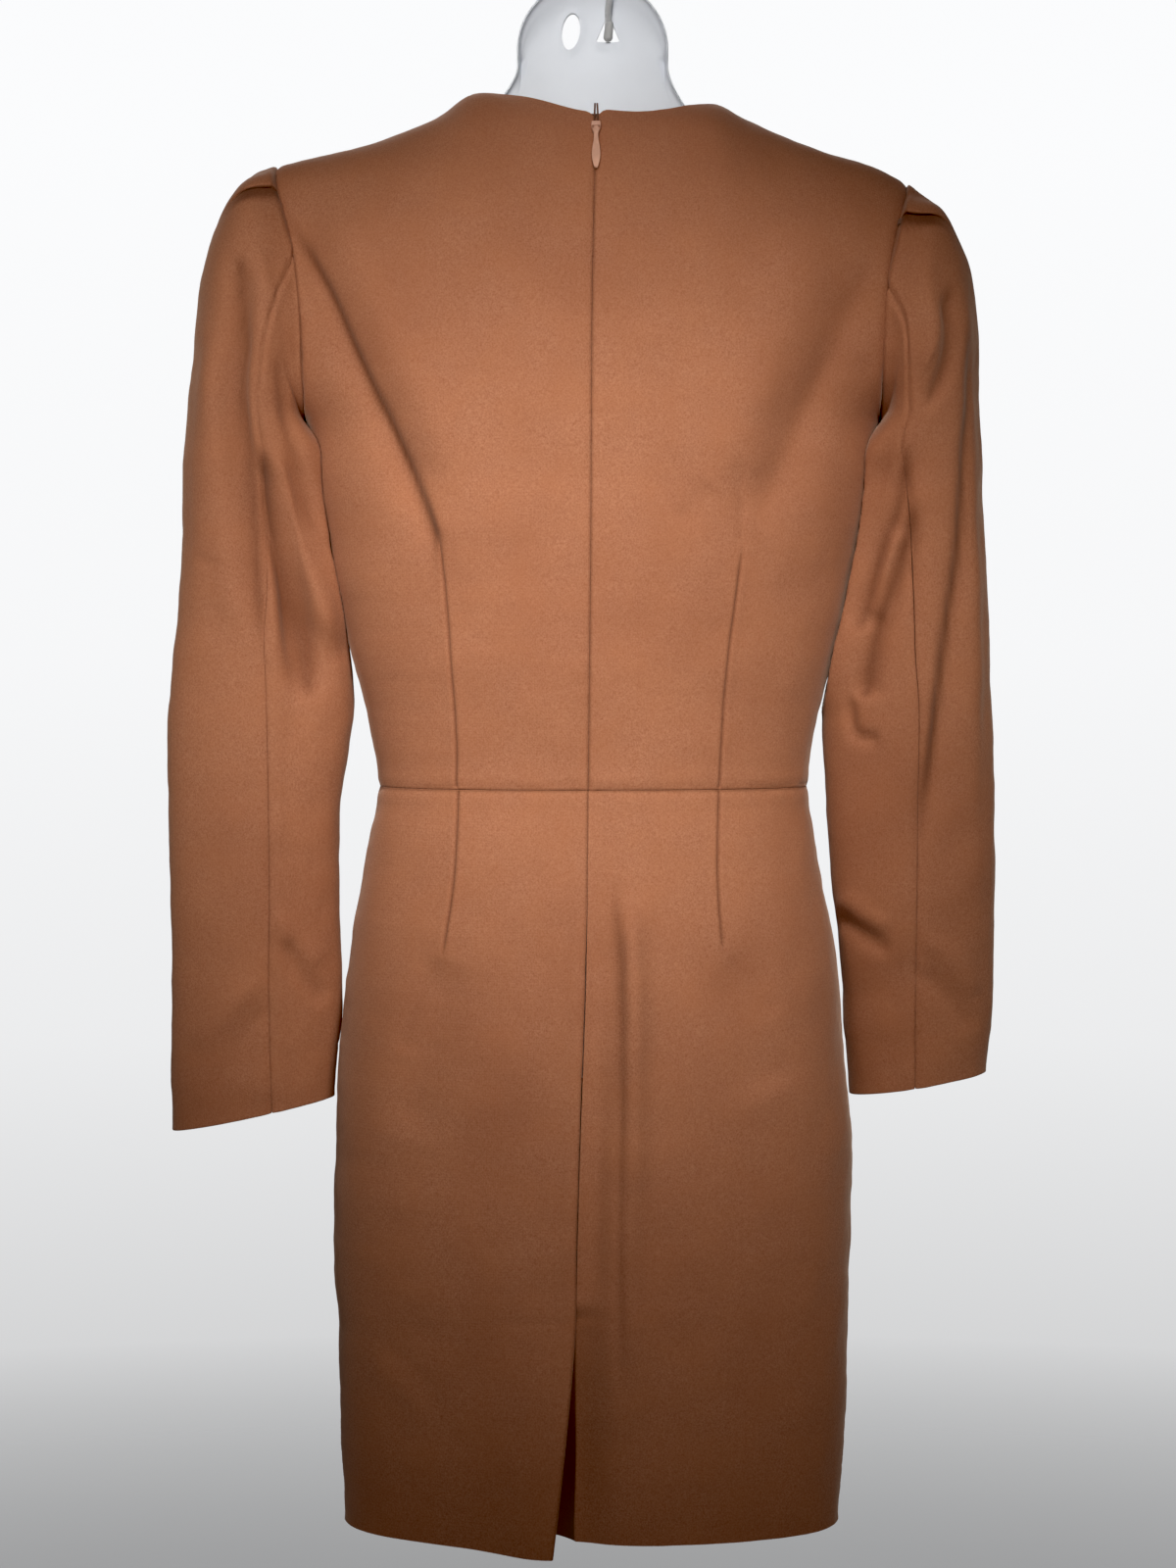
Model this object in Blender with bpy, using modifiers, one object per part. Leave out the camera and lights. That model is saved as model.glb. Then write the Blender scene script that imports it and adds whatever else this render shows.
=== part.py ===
"""A long-sleeved sheath dress on a hollow-backed hanging form.

Metres, +Z up. The front of the dress faces -Y and its wearer's left is +X. The origin is where the hook bears
on the rail it hangs from. Every cloth panel is an open surface, worked out from the level tables below, that
Solidify turns into a wall; panels that are sewn together stop SEAM apart.
"""

import math

import bmesh
import bpy
import numpy as np
from mathutils import Matrix, Vector

# Cloth
CLOTH = 0.0016  # thickness of the wool and its lining, pressed together
SEAM = 0.0008  # gap between the faces of two panels that are sewn together
SLEEVE_SEAM = 0.0022  # the same down a sleeve, where the walls lean towards each other
ARM_SEAM = 0.0015  # and at the armhole

# Heights
NECK_BACK = -0.154
NECK_FRONT = -0.215
NECK_NOTCH = 0.004  # drop of the neck's corners at the zip
UNDERARM = -0.350
WAIST = -0.592
VENT_TOP = -0.935
HEM = -1.084

# Across
NECK_HALF = 0.082
SHOULDER_HALF = 0.2095
SECTION = 2.3  # the power of the body's section: 2 is an ellipse, and more is squarer
CLOSING = 2.2  # the same for the rounding of the shoulders, seen from the side
CLOSING_HEIGHT = 0.13
NECK_ROUND = 2.0  # the power of the neckline's curve at the front
BODICE_ROWS = (8, 6)  # rows of cells below the shoulders' rounding, and over it
CROWDING = 1.35  # how much closer together the cells lie towards an edge
NECK_CROWDING = 2.2  # the same towards the neck points
FOLD_TAPER = 4  # how soon a fold of the back rises from its ends

# z, half width, depth behind the side seams, depth before them
BODY_LEVELS = (
    (-1.084, 0.1660, 0.074, 0.098),
    (-0.950, 0.1705, 0.085, 0.104),
    (-0.840, 0.1720, 0.096, 0.108),
    (-0.750, 0.1665, 0.099, 0.108),
    (-0.680, 0.1575, 0.092, 0.104),
    (-0.635, 0.1495, 0.082, 0.099),
    (-0.592, 0.1420, 0.075, 0.096),
    (-0.555, 0.1475, 0.076, 0.101),
    (-0.500, 0.1610, 0.081, 0.116),
    (-0.430, 0.1770, 0.086, 0.130),
    (-0.390, 0.1848, 0.0865, 0.1255),
    (-0.350, 0.1900, 0.087, 0.120),
    (-0.320, 0.2120, 0.086, 0.112),
    (-0.280, 0.2280, 0.085, 0.104),
    (-0.220, 0.2360, 0.083, 0.097),
    (-0.130, 0.2400, 0.080, 0.090),
)

# distance from the middle, height of the left shoulder's ridge there, height of the right shoulder's, which
# hangs a little lower
RIDGE = (
    (0.000, -0.1345, -0.1345),
    (0.050, -0.1350, -0.1390),
    (0.082, -0.1365, -0.1420),
    (0.100, -0.1480, -0.1530),
    (0.144, -0.1665, -0.1715),
    (0.198, -0.1800, -0.1880),
    (0.212, -0.1845, -0.1970),
)

# distance from the middle, height of the back neckline's left half there, height of its right half
BACK_NECK = (
    (0.000, -0.1545, -0.1525),
    (0.012, -0.1522, -0.1524),
    (0.022, -0.1492, -0.1528),
    (0.034, -0.1450, -0.1526),
    (0.048, -0.1405, -0.1505),
    (0.062, -0.1378, -0.1468),
    (0.082, -0.1365, -0.1420),
)
# z, distance of the centre back seam from the middle: the skirt hangs a little askew
CENTRE_BACK = (
    (-1.084, 0.0115),
    (-0.915, 0.0105),
    (-0.850, 0.0090),
    (-0.790, 0.0070),
    (-0.720, 0.0045),
    (-0.592, 0.0030),
    (-0.450, 0.0015),
    (-0.250, 0.0000),
    (-0.150, -0.0025),
)

# z, distance of the armhole seam from the middle
ARMHOLE = (
    (-0.350, 0.1900),
    (-0.320, 0.1895),
    (-0.285, 0.1900),
    (-0.250, 0.1940),
    (-0.215, 0.2030),
    (-0.196, 0.2085),
    (-0.183, 0.2100),
)

# Folds across the back, as soft troughs (negative) and ridges:
# start x, z; middle x, z; end x, z; half width; height
BACK_FOLDS = (
    (0.100, -0.425, 0.150, -0.312, 0.196, -0.214, 0.016, -0.0080),
    (0.080, -0.400, 0.128, -0.300, 0.172, -0.205, 0.020, 0.0050),
    (-0.103, -0.425, -0.138, -0.345, -0.180, -0.248, 0.020, -0.0060),
    (-0.080, -0.410, -0.112, -0.310, -0.150, -0.215, 0.022, 0.0045),
    (-0.026, -0.655, -0.026, -0.800, -0.024, -1.084, 0.013, 0.0080),
    (-0.010, -0.660, -0.012, -0.800, -0.010, -0.930, 0.010, -0.0040),
    (0.086, -0.700, 0.104, -0.760, 0.118, -0.820, 0.018, -0.0045),
    (-0.086, -0.700, -0.104, -0.750, -0.118, -0.790, 0.018, -0.0040),
)

# Sleeves. Each row is one ring of the sleeve, from the armhole to the cuff:
# outer x, z; inner x, z; half depth; how far back the ring's middle lies
LEFT_SLEEVE = (
    (0.2100, -0.1835, 0.1900, -0.350, 0.056, 0.000),
    (0.2230, -0.1860, 0.1925, -0.352, 0.059, 0.002),
    (0.2355, -0.1940, 0.1912, -0.356, 0.061, 0.003),
    (0.2470, -0.2110, 0.1898, -0.364, 0.061, 0.003),
    (0.2560, -0.2390, 0.1880, -0.376, 0.059, 0.002),
    (0.2630, -0.2840, 0.1850, -0.396, 0.055, 0.000),
    (0.2670, -0.3230, 0.1815, -0.416, 0.050, -0.001),
    (0.2710, -0.3750, 0.1767, -0.440, 0.045, -0.001),
    (0.2735, -0.4300, 0.1698, -0.470, 0.040, 0.000),
    (0.2770, -0.4850, 0.1625, -0.503, 0.036, 0.001),
    (0.2820, -0.5450, 0.1598, -0.545, 0.034, 0.000),
    (0.2830, -0.6100, 0.1690, -0.605, 0.032, -0.004),
    (0.2830, -0.6850, 0.1700, -0.675, 0.030, -0.011),
    (0.2845, -0.7600, 0.1700, -0.745, 0.028, -0.019),
    (0.2840, -0.8260, 0.1745, -0.803, 0.027, -0.026),
)
RIGHT_SLEEVE = (
    (0.2085, -0.1960, 0.1900, -0.350, 0.056, 0.000),
    (0.2185, -0.1980, 0.1925, -0.352, 0.059, 0.002),
    (0.2300, -0.2050, 0.1912, -0.356, 0.061, 0.003),
    (0.2400, -0.2180, 0.1898, -0.364, 0.061, 0.003),
    (0.2490, -0.2430, 0.1880, -0.376, 0.059, 0.002),
    (0.2545, -0.2840, 0.1850, -0.396, 0.055, 0.000),
    (0.2565, -0.3230, 0.1815, -0.416, 0.050, -0.001),
    (0.2585, -0.3750, 0.1767, -0.440, 0.045, -0.001),
    (0.2610, -0.4300, 0.1698, -0.470, 0.040, 0.000),
    (0.2640, -0.4850, 0.1618, -0.503, 0.037, 0.001),
    (0.2660, -0.5450, 0.1528, -0.545, 0.035, -0.002),
    (0.2690, -0.6100, 0.1570, -0.610, 0.033, -0.010),
    (0.2710, -0.6800, 0.1640, -0.680, 0.031, -0.022),
    (0.2725, -0.7450, 0.1710, -0.745, 0.029, -0.038),
    (0.2695, -0.7890, 0.1775, -0.804, 0.028, -0.048),
)
# degrees round the sleeve from its outer line, through its back, at the armhole and below it
BACK_SEAM = (74, 94)
FRONT_SEAM = (-118, -134)
SEAM_TURN = 0.22  # share of the sleeve's length in which a seam turns from the first to the second
CAP_SHARE = 0.30  # share of the length in which the sleeve takes up the armhole's own outline

# Pleats of the sleeve heads: degrees round the armhole, height of the fold, how far down the sleeve it dies out
LEFT_PLEATS = ((27, 0.0075, 0.17), (-30, 0.0060, 0.15))
RIGHT_PLEATS = ((38, 0.0075, 0.18), (-32, 0.0060, 0.15))
PLEAT_LIP = 2.2  # degrees from the fold's edge to the cloth beneath it
PLEAT_BACK = 26  # degrees over which the fold rises to its edge

# Troughs down the sleeves: degrees round, share of the length where it starts and ends, half width in degrees,
# height
LEFT_SLEEVE_FOLDS = (
    (74, 0.10, 0.62, 12, -0.0050),
    (118, 0.34, 0.78, 11, -0.0045),
    (50, 0.30, 0.70, 14, 0.0035),
    (-70, 0.25, 0.75, 13, -0.0045),
)
RIGHT_SLEEVE_FOLDS = (
    (62, 0.14, 0.34, 11, -0.0050),
    (46, 0.26, 0.86, 12, 0.0040),
    (128, 0.30, 0.56, 12, -0.0050),
    (-66, 0.25, 0.70, 13, -0.0045),
)

# Vent
VENT_FLARE = 0.030  # how far the left panel's corner stands out at the hem
VENT_FLARE_REACH = 0.062  # how far from the corner that is felt
VENT_SHIFT = 0.014  # how far the corner is drawn to the side
VENT_SHIFT_REACH = 0.050
VENT_OPENING = 1.25  # the power of the height by which it opens
UNDERLAP = 0.040  # width of the underlap
UNDERLAP_TURN = 66  # degrees by which it turns inwards at the hem
UNDERLAP_SINK = 0.0042  # how far it starts below the left panel
UNDERLAP_SINK_RISE = (0.014, 0.012)  # how far over the vent it starts to sink, and in what height it does
UNDERLAP_SINK_REACH = 0.014
RIGHT_CURL = 0.010  # how far the right panel's corner curls in at the hem
RIGHT_CURL_REACH = 0.030

# Zip
ZIP_END = -0.622
TAPE_HALF = 0.0055
TAPE = 0.0008
TAPE_SINK = 0.0009  # gap between the cloth's inner face and the tape
SLIDER_Z = -0.1665
SLIDER_LIFT = 0.0004
SLIDER = (0.0062, 0.0095, 0.0020)  # width, length, thickness
PIN = 0.0005  # radius of the bar that the pull turns on
PIN_LIFT = 0.0037  # height of the bar over the cloth
PIN_GAP = 0.0003
KNUCKLE_HALF = 0.0013  # half width of the pull's knuckle
KNUCKLE_WALL = 0.0006
EAR = 0.0009  # thickness of each ear that holds the bar
EAR_ROUND = 0.0012  # radius of the ear round the bar
PULL_HALF = 0.0027
PULL_LENGTH = 0.0330
LEAF_START = 0.0020  # below the knuckle, where the pull's flat part starts
LEAF_NECK = 0.22  # share of the pull's length over which it stays narrow
PULL = 0.0009
PULL_REST = math.radians(10)  # angle by which the pull leans in to the cloth
LEAF_STEPS = 12
LEAF_WIDEST = 0.64  # share of the pull's length at which it is widest

# Form
SHELL = 0.0030
FORM_FOOT = -0.800
FORM_CLEAR = 0.008  # how far its wall stays inside the cloth below the shoulders
FORM_SEAT = 0.0011  # how far the shoulders stay below the cloth
FORM_CLOSING = 1.80  # the rounding of its shoulders, flatter than the cloth over them
FORM_SHOULDER = 0.192
FORM_COLUMNS = 18
FORM_ROWS = 18
FORM_FAN = 0.15  # share by which its columns fan out evenly, whatever the rim does
RIM_PARTS = (0.36, 0.44, 0.56)  # shares of the rim at which the arch, the tab's side and the neck's flare end
NECK_WIDE = (0.045, 0.040)  # past the tab: where the neck's shallow part ends, and in what width it does
NECK_LOW = (-0.250, 0.095)  # height at which it starts, and in what height it is reached
TAB_WIDE = (0.020, 0.016)  # the same for the tab's own curl
TAB_HALF = 0.0500
TAB_TOP = -0.0580
TAB_SIDE = -0.1050  # height at which the tab's arch reaches its full width
TAB_FOOT = -0.1160
TAB_FLARE = 0.0120
TAB_DEPTH = 0.0100
TAB_CURL = 0.0300

# Hook
WIRE = 0.0022
HOOK_BEND = 0.0200  # radius of the bend, to the middle of the wire
HOOK_TURN = (205, -38)  # degrees at which the bend starts and ends
HOOK_STEPS = 20
SHANK_X = -0.0110
HOOK_HOLE = (-0.0102, -0.0895)  # x, z of the triangular hole's middle
HOOK_HOLE_SIZE = (0.0163, 0.0190)
OVAL_HOLE = (0.0144, -0.0920)
OVAL_SIZE = (0.0118, 0.0240)
OVAL_TILT = math.radians(-8)
PLUG = (0.0074, 0.0090, 0.0070)  # width, depth, height
PLUG_Y = -0.0090
PLUG_GAP = 0.0003
CUTTER_DEPTH = 0.08
OVAL_STEPS = 20

# The wire's foot: share of the way from the hole to the shank, y, height over the plug
WIRE_FOOT = (
    (0.0, -0.0090, 0.0003),
    (0.0, -0.0090, 0.0014),
    (0.0, -0.0072, 0.0036),
    (0.0, -0.0040, 0.0066),
    (0.0, 0.0014, 0.0130),
    (1.0, 0.0054, 0.0210),
)
# The shank above it: distance aside, y, z
WIRE_SHANK = (
    (0.0, 0.0054, -0.0580),
    (0.0, 0.0038, -0.0480),
    (-0.0015, 0.0016, -0.0400),
)

COLOURS = {
    "wool": (0.36, 0.14, 0.075),
    "tape": (0.20, 0.08, 0.045),
    "enamel": (0.55, 0.27, 0.18),
    "form": (0.80, 0.81, 0.83),
    "steel": (0.55, 0.56, 0.58),
    "plug": (0.30, 0.31, 0.32),
}


def clear_scene():
    for thing in list(bpy.data.objects):
        bpy.data.objects.remove(thing, do_unlink=True)


def collection_named(name):
    made = bpy.data.collections.new(name)
    bpy.context.scene.collection.children.link(made)
    return made


def material(name, roughness, metallic=0.0):
    made = bpy.data.materials.new(name)
    made.use_nodes = True
    shader = made.node_tree.nodes["Principled BSDF"]
    shader.inputs["Base Color"].default_value = (*COLOURS[name], 1.0)
    shader.inputs["Roughness"].default_value = roughness
    shader.inputs["Metallic"].default_value = metallic
    return made


def curve_through(at, table, column):
    """The smooth curve through one column of a table, against its first column."""
    places = np.array([row[0] for row in table])
    values = np.array([row[column] for row in table])
    slopes = np.gradient(values, places)
    i = int(np.clip(np.searchsorted(places, at) - 1, 0, len(places) - 2))
    step = places[i + 1] - places[i]
    t = min(max((at - places[i]) / step, 0.0), 1.0)
    start = values[i] * (1 + 2 * t) + slopes[i] * step * t
    end = values[i + 1] * (3 - 2 * t) - slopes[i + 1] * step * (1 - t)
    return float(start * (1 - t) ** 2 + end * t * t)


def ease(share):
    """0 to 1 with no corner at either end."""
    share = min(max(share, 0.0), 1.0)
    return share * share * (3 - 2 * share)


def bump(distance, half_width):
    return math.exp(-((distance / half_width) ** 2))


# The body


def half_width(z):
    return curve_through(z, BODY_LEVELS, 1)


def depth(z, back):
    return curve_through(z, BODY_LEVELS, 2 if back else 3)


def ridge(x_sign, x):
    return curve_through(x, RIDGE, 1 if x_sign > 0 else 2)


def centre_back(z):
    return curve_through(z, CENTRE_BACK, 1)


def armhole_x(z):
    return curve_through(z, ARMHOLE, 1)


def armhole_turn(z):
    """Where the armhole cuts the body's section at this height: 0 is the middle of the panel, and 1 its side."""
    if z <= UNDERARM:
        return 1.0
    share = min(armhole_x(z) / half_width(z), 1.0)
    return math.asin(share ** (SECTION / 2)) / (math.pi / 2)


def section(turn):
    """x and depth of the body's section, as shares of its half width and its depth."""
    angle = turn * math.pi / 2
    return math.sin(angle) ** (2 / SECTION), max(math.cos(angle), 0.0) ** (2 / SECTION)


def fold_path(fold, steps=24):
    """Points along the curve through a fold's start, middle and end."""
    start, middle, end = np.array(fold[:6]).reshape(3, 2)
    control = 2 * middle - (start + end) / 2
    for i in range(steps + 1):
        t = i / steps
        yield t, (1 - t) ** 2 * start + 2 * t * (1 - t) * control + t * t * end


def back_folds(x, z):
    total = 0.0
    for fold in BACK_FOLDS:
        reach, height = fold[6], fold[7]
        nearest, along = min((math.hypot(x - p[0], z - p[1]), t) for t, p in fold_path(fold))
        if nearest < 3 * reach:
            total += height * bump(nearest, reach) * ease(min(along, 1 - along) * FOLD_TAPER + 0.15)
    return total


def neck_height(x_sign, x, back):
    """Height of the neckline over this distance from the middle."""
    if back:
        return curve_through(x, BACK_NECK, 1 if x_sign > 0 else 2) - NECK_NOTCH * bump(x, 0.004)
    share = min(x / NECK_HALF, 1.0)
    round_it = 1 - (1 - share**NECK_ROUND) ** (1 / NECK_ROUND)
    return NECK_FRONT + (ridge(x_sign, NECK_HALF) - NECK_FRONT) * round_it


def bodice_xz(x_sign, column, rise, high):
    """x and z of a bodice point. column runs from the middle, 0, to the side, 1; rise is the angle of the
    shoulder's rounding, or where high is False the share of the height from the waist to where that starts."""
    x = column * armhole_x(UNDERARM)
    for _ in range(12):
        start = ridge(x_sign, x) - CLOSING_HEIGHT
        if high:
            z = start + CLOSING_HEIGHT * math.sin(rise) ** (2 / CLOSING)
        else:
            z = WAIST + (start - WAIST) * rise
        x = half_width(z) * section(column * armhole_turn(z))[0]
    return x, z


def top_rise(x_sign, column, back):
    """The angle at which the panel's top edge cuts the shoulder's rounding."""
    low, high = 0.0, math.pi / 2
    x, z = bodice_xz(x_sign, column, high, True)
    if x >= NECK_HALF:
        return high
    for _ in range(40):
        middle = (low + high) / 2
        x, z = bodice_xz(x_sign, column, middle, True)
        low, high = (middle, high) if z < neck_height(x_sign, x, back) else (low, middle)
    return low


def neck_column(x_sign):
    """The column that ends at the neck point."""
    low, high = 0.0, 1.0
    for _ in range(40):
        middle = (low + high) / 2
        x, _ = bodice_xz(x_sign, middle, math.pi / 2, True)
        low, high = (middle, high) if x < NECK_HALF else (low, middle)
    return high


def body_depth(x_sign, x, z, closing, back):
    """Depth of the body at a place across it and a height, with the folds of the back."""
    deep = (1 - min(x / half_width(z), 1.0) ** SECTION) ** (1 / SECTION) * closing
    y = depth(z, back) * deep
    if back:
        y += back_folds(x * x_sign, z) * min(deep * 1.6, 1.0)
    return y


def shoulder_closing(x_sign, x, z):
    """Share of the body's depth that is left at this height under the shoulder's ridge."""
    high = min(max(1 - (ridge(x_sign, x) - z) / CLOSING_HEIGHT, 0.0), 1.0)
    return (1 - high**CLOSING) ** (1 / CLOSING)


def askew(x_sign, x, column, z):
    """x with the centre back seam drawn aside, less so towards the side seam."""
    return x_sign * x + centre_back(z) * (1 - column) ** 2


def bodice_point(x_sign, column, row, back):
    low_rows, high_rows = BODICE_ROWS
    if row <= low_rows:
        x, z = bodice_xz(x_sign, column, row / low_rows, False)
        closing = 1.0
    else:
        share = 1 - (1 - (row - low_rows) / high_rows) ** CROWDING
        rise = share * top_rise(x_sign, column, back)
        x, z = bodice_xz(x_sign, column, rise, True)
        closing = max(math.cos(rise), 0.0) ** (2 / CLOSING)
    y = max(body_depth(x_sign, x, z, closing, back), SEAM / 2)
    if column == 1.0 and z > UNDERARM:
        x = min(x, armhole_x(z) - ARM_SEAM / 2)
    z = max(z, WAIST + SEAM / 2)
    if not back:
        return x_sign * x, -y, z
    return askew(x_sign, max(x, SEAM / 2), column, z), y, z


def skirt_point(x_sign, column, z, back):
    x = half_width(z) * section(column)[0]
    y = max(body_depth(x_sign, x, z, 1.0, back), SEAM / 2)
    hung_z = min(z, WAIST - SEAM / 2)
    if not back:
        return x_sign * x, -y, hung_z
    below = max((VENT_TOP - z) / (VENT_TOP - HEM), 0.0)
    x = max(x, SEAM / 2)
    if x_sign > 0:
        y += VENT_FLARE * below**VENT_OPENING * bump(x, VENT_FLARE_REACH)
        x += VENT_SHIFT * below**VENT_OPENING * bump(x, VENT_SHIFT_REACH)
    else:
        over, height = UNDERLAP_SINK_RISE
        y -= UNDERLAP_SINK * ease((VENT_TOP + over - z) / height) * bump(x, UNDERLAP_SINK_REACH)
        y -= RIGHT_CURL * below**1.5 * bump(x, RIGHT_CURL_REACH)
    return askew(x_sign, x, column, z), y, hung_z


def underlap_point(share, z):
    """A point of the vent's underlap, which turns in and under the left panel."""
    x, y, z = skirt_point(-1, 0.0, z, True)
    below = max((VENT_TOP - z) / (VENT_TOP - HEM), 0.0)
    turn = math.radians(UNDERLAP_TURN) * ease(below * 0.9) * (1 - 0.35 * share)
    reach = UNDERLAP * share
    return x + reach * math.cos(turn), y - reach * math.sin(turn), z


# Sleeves


def armhole_loop(x_sign, degrees):
    """The armhole seam: 0 degrees is the shoulder point, 90 the back, 180 the underarm."""
    top, bottom = ridge(x_sign, SHOULDER_HALF), UNDERARM
    z = (top + bottom) / 2 + (top - bottom) / 2 * math.cos(math.radians(degrees))
    back = math.sin(math.radians(degrees)) >= 0
    x = armhole_x(z)
    y = body_depth(x_sign, x, z, shoulder_closing(x_sign, x, z), back)
    return np.array((x + ARM_SEAM / 2, y if back else -y, z))


def ring_point(table, share, degrees):
    rows = [(i / (len(table) - 1), *row) for i, row in enumerate(table)]
    outer_x, outer_z, inner_x, inner_z, half_depth, middle = (
        curve_through(share, rows, column) for column in range(1, 7)
    )
    along = math.cos(math.radians(degrees))
    return np.array(
        (
            (outer_x + inner_x) / 2 + (outer_x - inner_x) / 2 * along,
            middle + half_depth * math.sin(math.radians(degrees)),
            (outer_z + inner_z) / 2 + (outer_z - inner_z) / 2 * along,
        )
    )


def pleat_height(pleats, degrees, share):
    total = 0.0
    for edge, height, dies_out in pleats:
        away = (degrees - edge) * math.copysign(1, edge)
        fade = ease(1 - share / dies_out)
        if away <= 0:
            total += height * fade * ease(1 + away / PLEAT_BACK)
        else:
            total += height * fade * ease(1 - away / PLEAT_LIP)
    return total


def sleeve_folds(folds, degrees, share):
    total = 0.0
    for at, start, end, reach, height in folds:
        inside = ease((share - start) / 0.12) * ease((end - share) / 0.16)
        total += height * inside * bump(degrees - at, reach)
    return total


def sleeve_point(x_sign, table, pleats, folds, degrees, share):
    point = ring_point(table, share, degrees)
    fade = max(1 - share / CAP_SHARE, 0.0) ** 2
    point = point + (armhole_loop(x_sign, degrees) - ring_point(table, 0.0, degrees)) * fade
    outward = ring_point(table, share, degrees) - ring_point(table, share, degrees + 180)
    outward /= np.linalg.norm(outward)
    height = pleat_height(pleats, degrees, share) + sleeve_folds(folds, degrees, share)
    return point + outward * height * ease(share / 0.02 + 0.25)


def seam_at(seam, share):
    """Degrees round the sleeve at which a seam lies, this far down."""
    return seam[0] + (seam[1] - seam[0]) * ease(share / SEAM_TURN)


def seam_gap(table, share):
    """Half a seam's gap, in degrees."""
    girth = np.linalg.norm(ring_point(table, share, 90) - ring_point(table, share, 270)) * math.pi
    return 360 * SLEEVE_SEAM / 2 / girth


# Meshes


def add_mesh(name, points, faces, look, home, smooth=True):
    mesh = bpy.data.meshes.new(name)
    mesh.from_pydata([tuple(p) for p in points], [], faces)
    if smooth:
        mesh.shade_smooth()
    mesh.materials.append(look)
    made = bpy.data.objects.new(name, mesh)
    home.objects.link(made)
    return made


def surface(name, rows, look, home, flip, thickness=CLOTH, missing=lambda i, j: False):
    """A wall with its outer face through rows of points; missing names the cells that are left out."""
    wide = len(rows[0])
    faces = []
    for i in range(len(rows) - 1):
        for j in range(wide - 1):
            if missing(i, j):
                continue
            face = (i * wide + j, i * wide + j + 1, (i + 1) * wide + j + 1, (i + 1) * wide + j)
            faces.append(face[::-1] if flip else face)
    made = add_mesh(name, [p for row in rows for p in row], faces, look, home)
    loose = bmesh.new()
    loose.from_mesh(made.data)
    alone = [vertex for vertex in loose.verts if not vertex.link_faces]
    bmesh.ops.delete(loose, geom=alone, context="VERTS")
    loose.to_mesh(made.data)
    loose.free()
    wall = made.modifiers.new("wall", "SOLIDIFY")
    wall.thickness = thickness
    wall.offset = -1
    return made


def spread(start, end, count, power=1.0):
    """count steps from start to end, closer together near the end where power is over 1."""
    return [start + (end - start) * (1 - (1 - i / count) ** power) for i in range(count + 1)]


def bodice_columns(x_sign):
    neck = neck_column(x_sign)
    return spread(0.0, neck, 6, NECK_CROWDING) + spread(neck, 1.0, 6, CROWDING)[1:]


def build_bodice(wool, home):
    count = sum(BODICE_ROWS) + 1
    for name, x_sign in (("back_bodice_left", 1), ("back_bodice_right", -1)):
        rows = [
            [bodice_point(x_sign, column, row, True) for column in bodice_columns(x_sign)]
            for row in range(count)
        ]
        surface(name, rows, wool, home, flip=x_sign > 0)
    right = [(-1, column) for column in bodice_columns(-1)[:0:-1]]
    left = [(1, column) for column in bodice_columns(1)]
    rows = [
        [bodice_point(x_sign, column, row, False) for x_sign, column in right + left]
        for row in range(count)
    ]
    surface("front_bodice", rows, wool, home, flip=False)


def skirt_heights():
    return spread(WAIST, VENT_TOP, 10) + spread(VENT_TOP, HEM, 4)[1:]


def build_skirt(wool, home):
    heights = skirt_heights()
    columns = spread(0.0, 1.0, 11, CROWDING)
    rows = [[skirt_point(1, column, z, True) for column in columns] for z in heights]
    surface("back_skirt_left", rows, wool, home, flip=False)

    shares = (1.0, 0.5, 0.12)
    rows = [
        [underlap_point(share, z) for share in shares]
        + [skirt_point(-1, column, z, True) for column in columns]
        for z in heights
    ]
    first_vent_row = heights.index(VENT_TOP)
    surface(
        "back_skirt_right",
        rows,
        wool,
        home,
        flip=True,
        missing=lambda i, j: j < len(shares) and i < first_vent_row,
    )

    columns = spread(0.0, 1.0, 7, CROWDING)
    both = [(-1, c) for c in columns[:0:-1]] + [(1, c) for c in columns]
    rows = [[skirt_point(x_sign, column, z, False) for x_sign, column in both] for z in heights]
    surface("front_skirt", rows, wool, home, flip=True)


def pleat_angles(pleats, start, end, step):
    """Degrees across an upper sleeve, with the pleats' edges among them."""
    plain = np.linspace(start, end, int((end - start) / step) + 1)
    edges = []
    for edge, _, _ in pleats:
        edges += [edge, edge + math.copysign(PLEAT_LIP, edge)]
    kept = [a for a in plain[1:-1] if min(abs(a - edge) for edge in edges) > 4]
    return sorted([start, end, *kept, *edges])


def build_sleeve(side, x_sign, table, pleats, folds, wool, home):
    cap = [CAP_SHARE * (i / 7) ** 1.6 for i in range(7)]
    shares = cap + spread(CAP_SHARE, 1.0, 9)
    cell = 4  # degrees of the cells beside a seam, small so that both walls lean alike there
    for name, first, last, turn in (
        ("upper_sleeve", FRONT_SEAM, BACK_SEAM, 0),
        ("under_sleeve", BACK_SEAM, FRONT_SEAM, 360),
    ):
        rows = []
        for share in shares:
            gap = seam_gap(table, share)
            start, end = seam_at(first, share) + gap, seam_at(last, share) + turn - gap
            if turn:
                middle = np.linspace(start + cell, end - cell, 9)
            else:
                middle = pleat_angles(pleats, first[0] + cell, last[0] - cell, 14)
            row = [
                sleeve_point(x_sign, table, pleats, folds, (a + 180) % 360 - 180, share)
                for a in (start, *middle, end)
            ]
            rows.append([(x_sign * x, y, z) for x, y, z in row])
        surface(f"{name}_{side}", rows, wool, home, flip=x_sign > 0)


# Zip


def back_middle(z):
    """Depth of the centre back line at a height."""
    return body_depth(1, 0.0, z, shoulder_closing(1, 0.0, z), True)


def back_lean(z):
    """Angle by which the centre back leans out of the vertical, about +X."""
    step = 0.004
    return math.atan2(back_middle(z - step) - back_middle(z + step), 2 * step)


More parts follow.
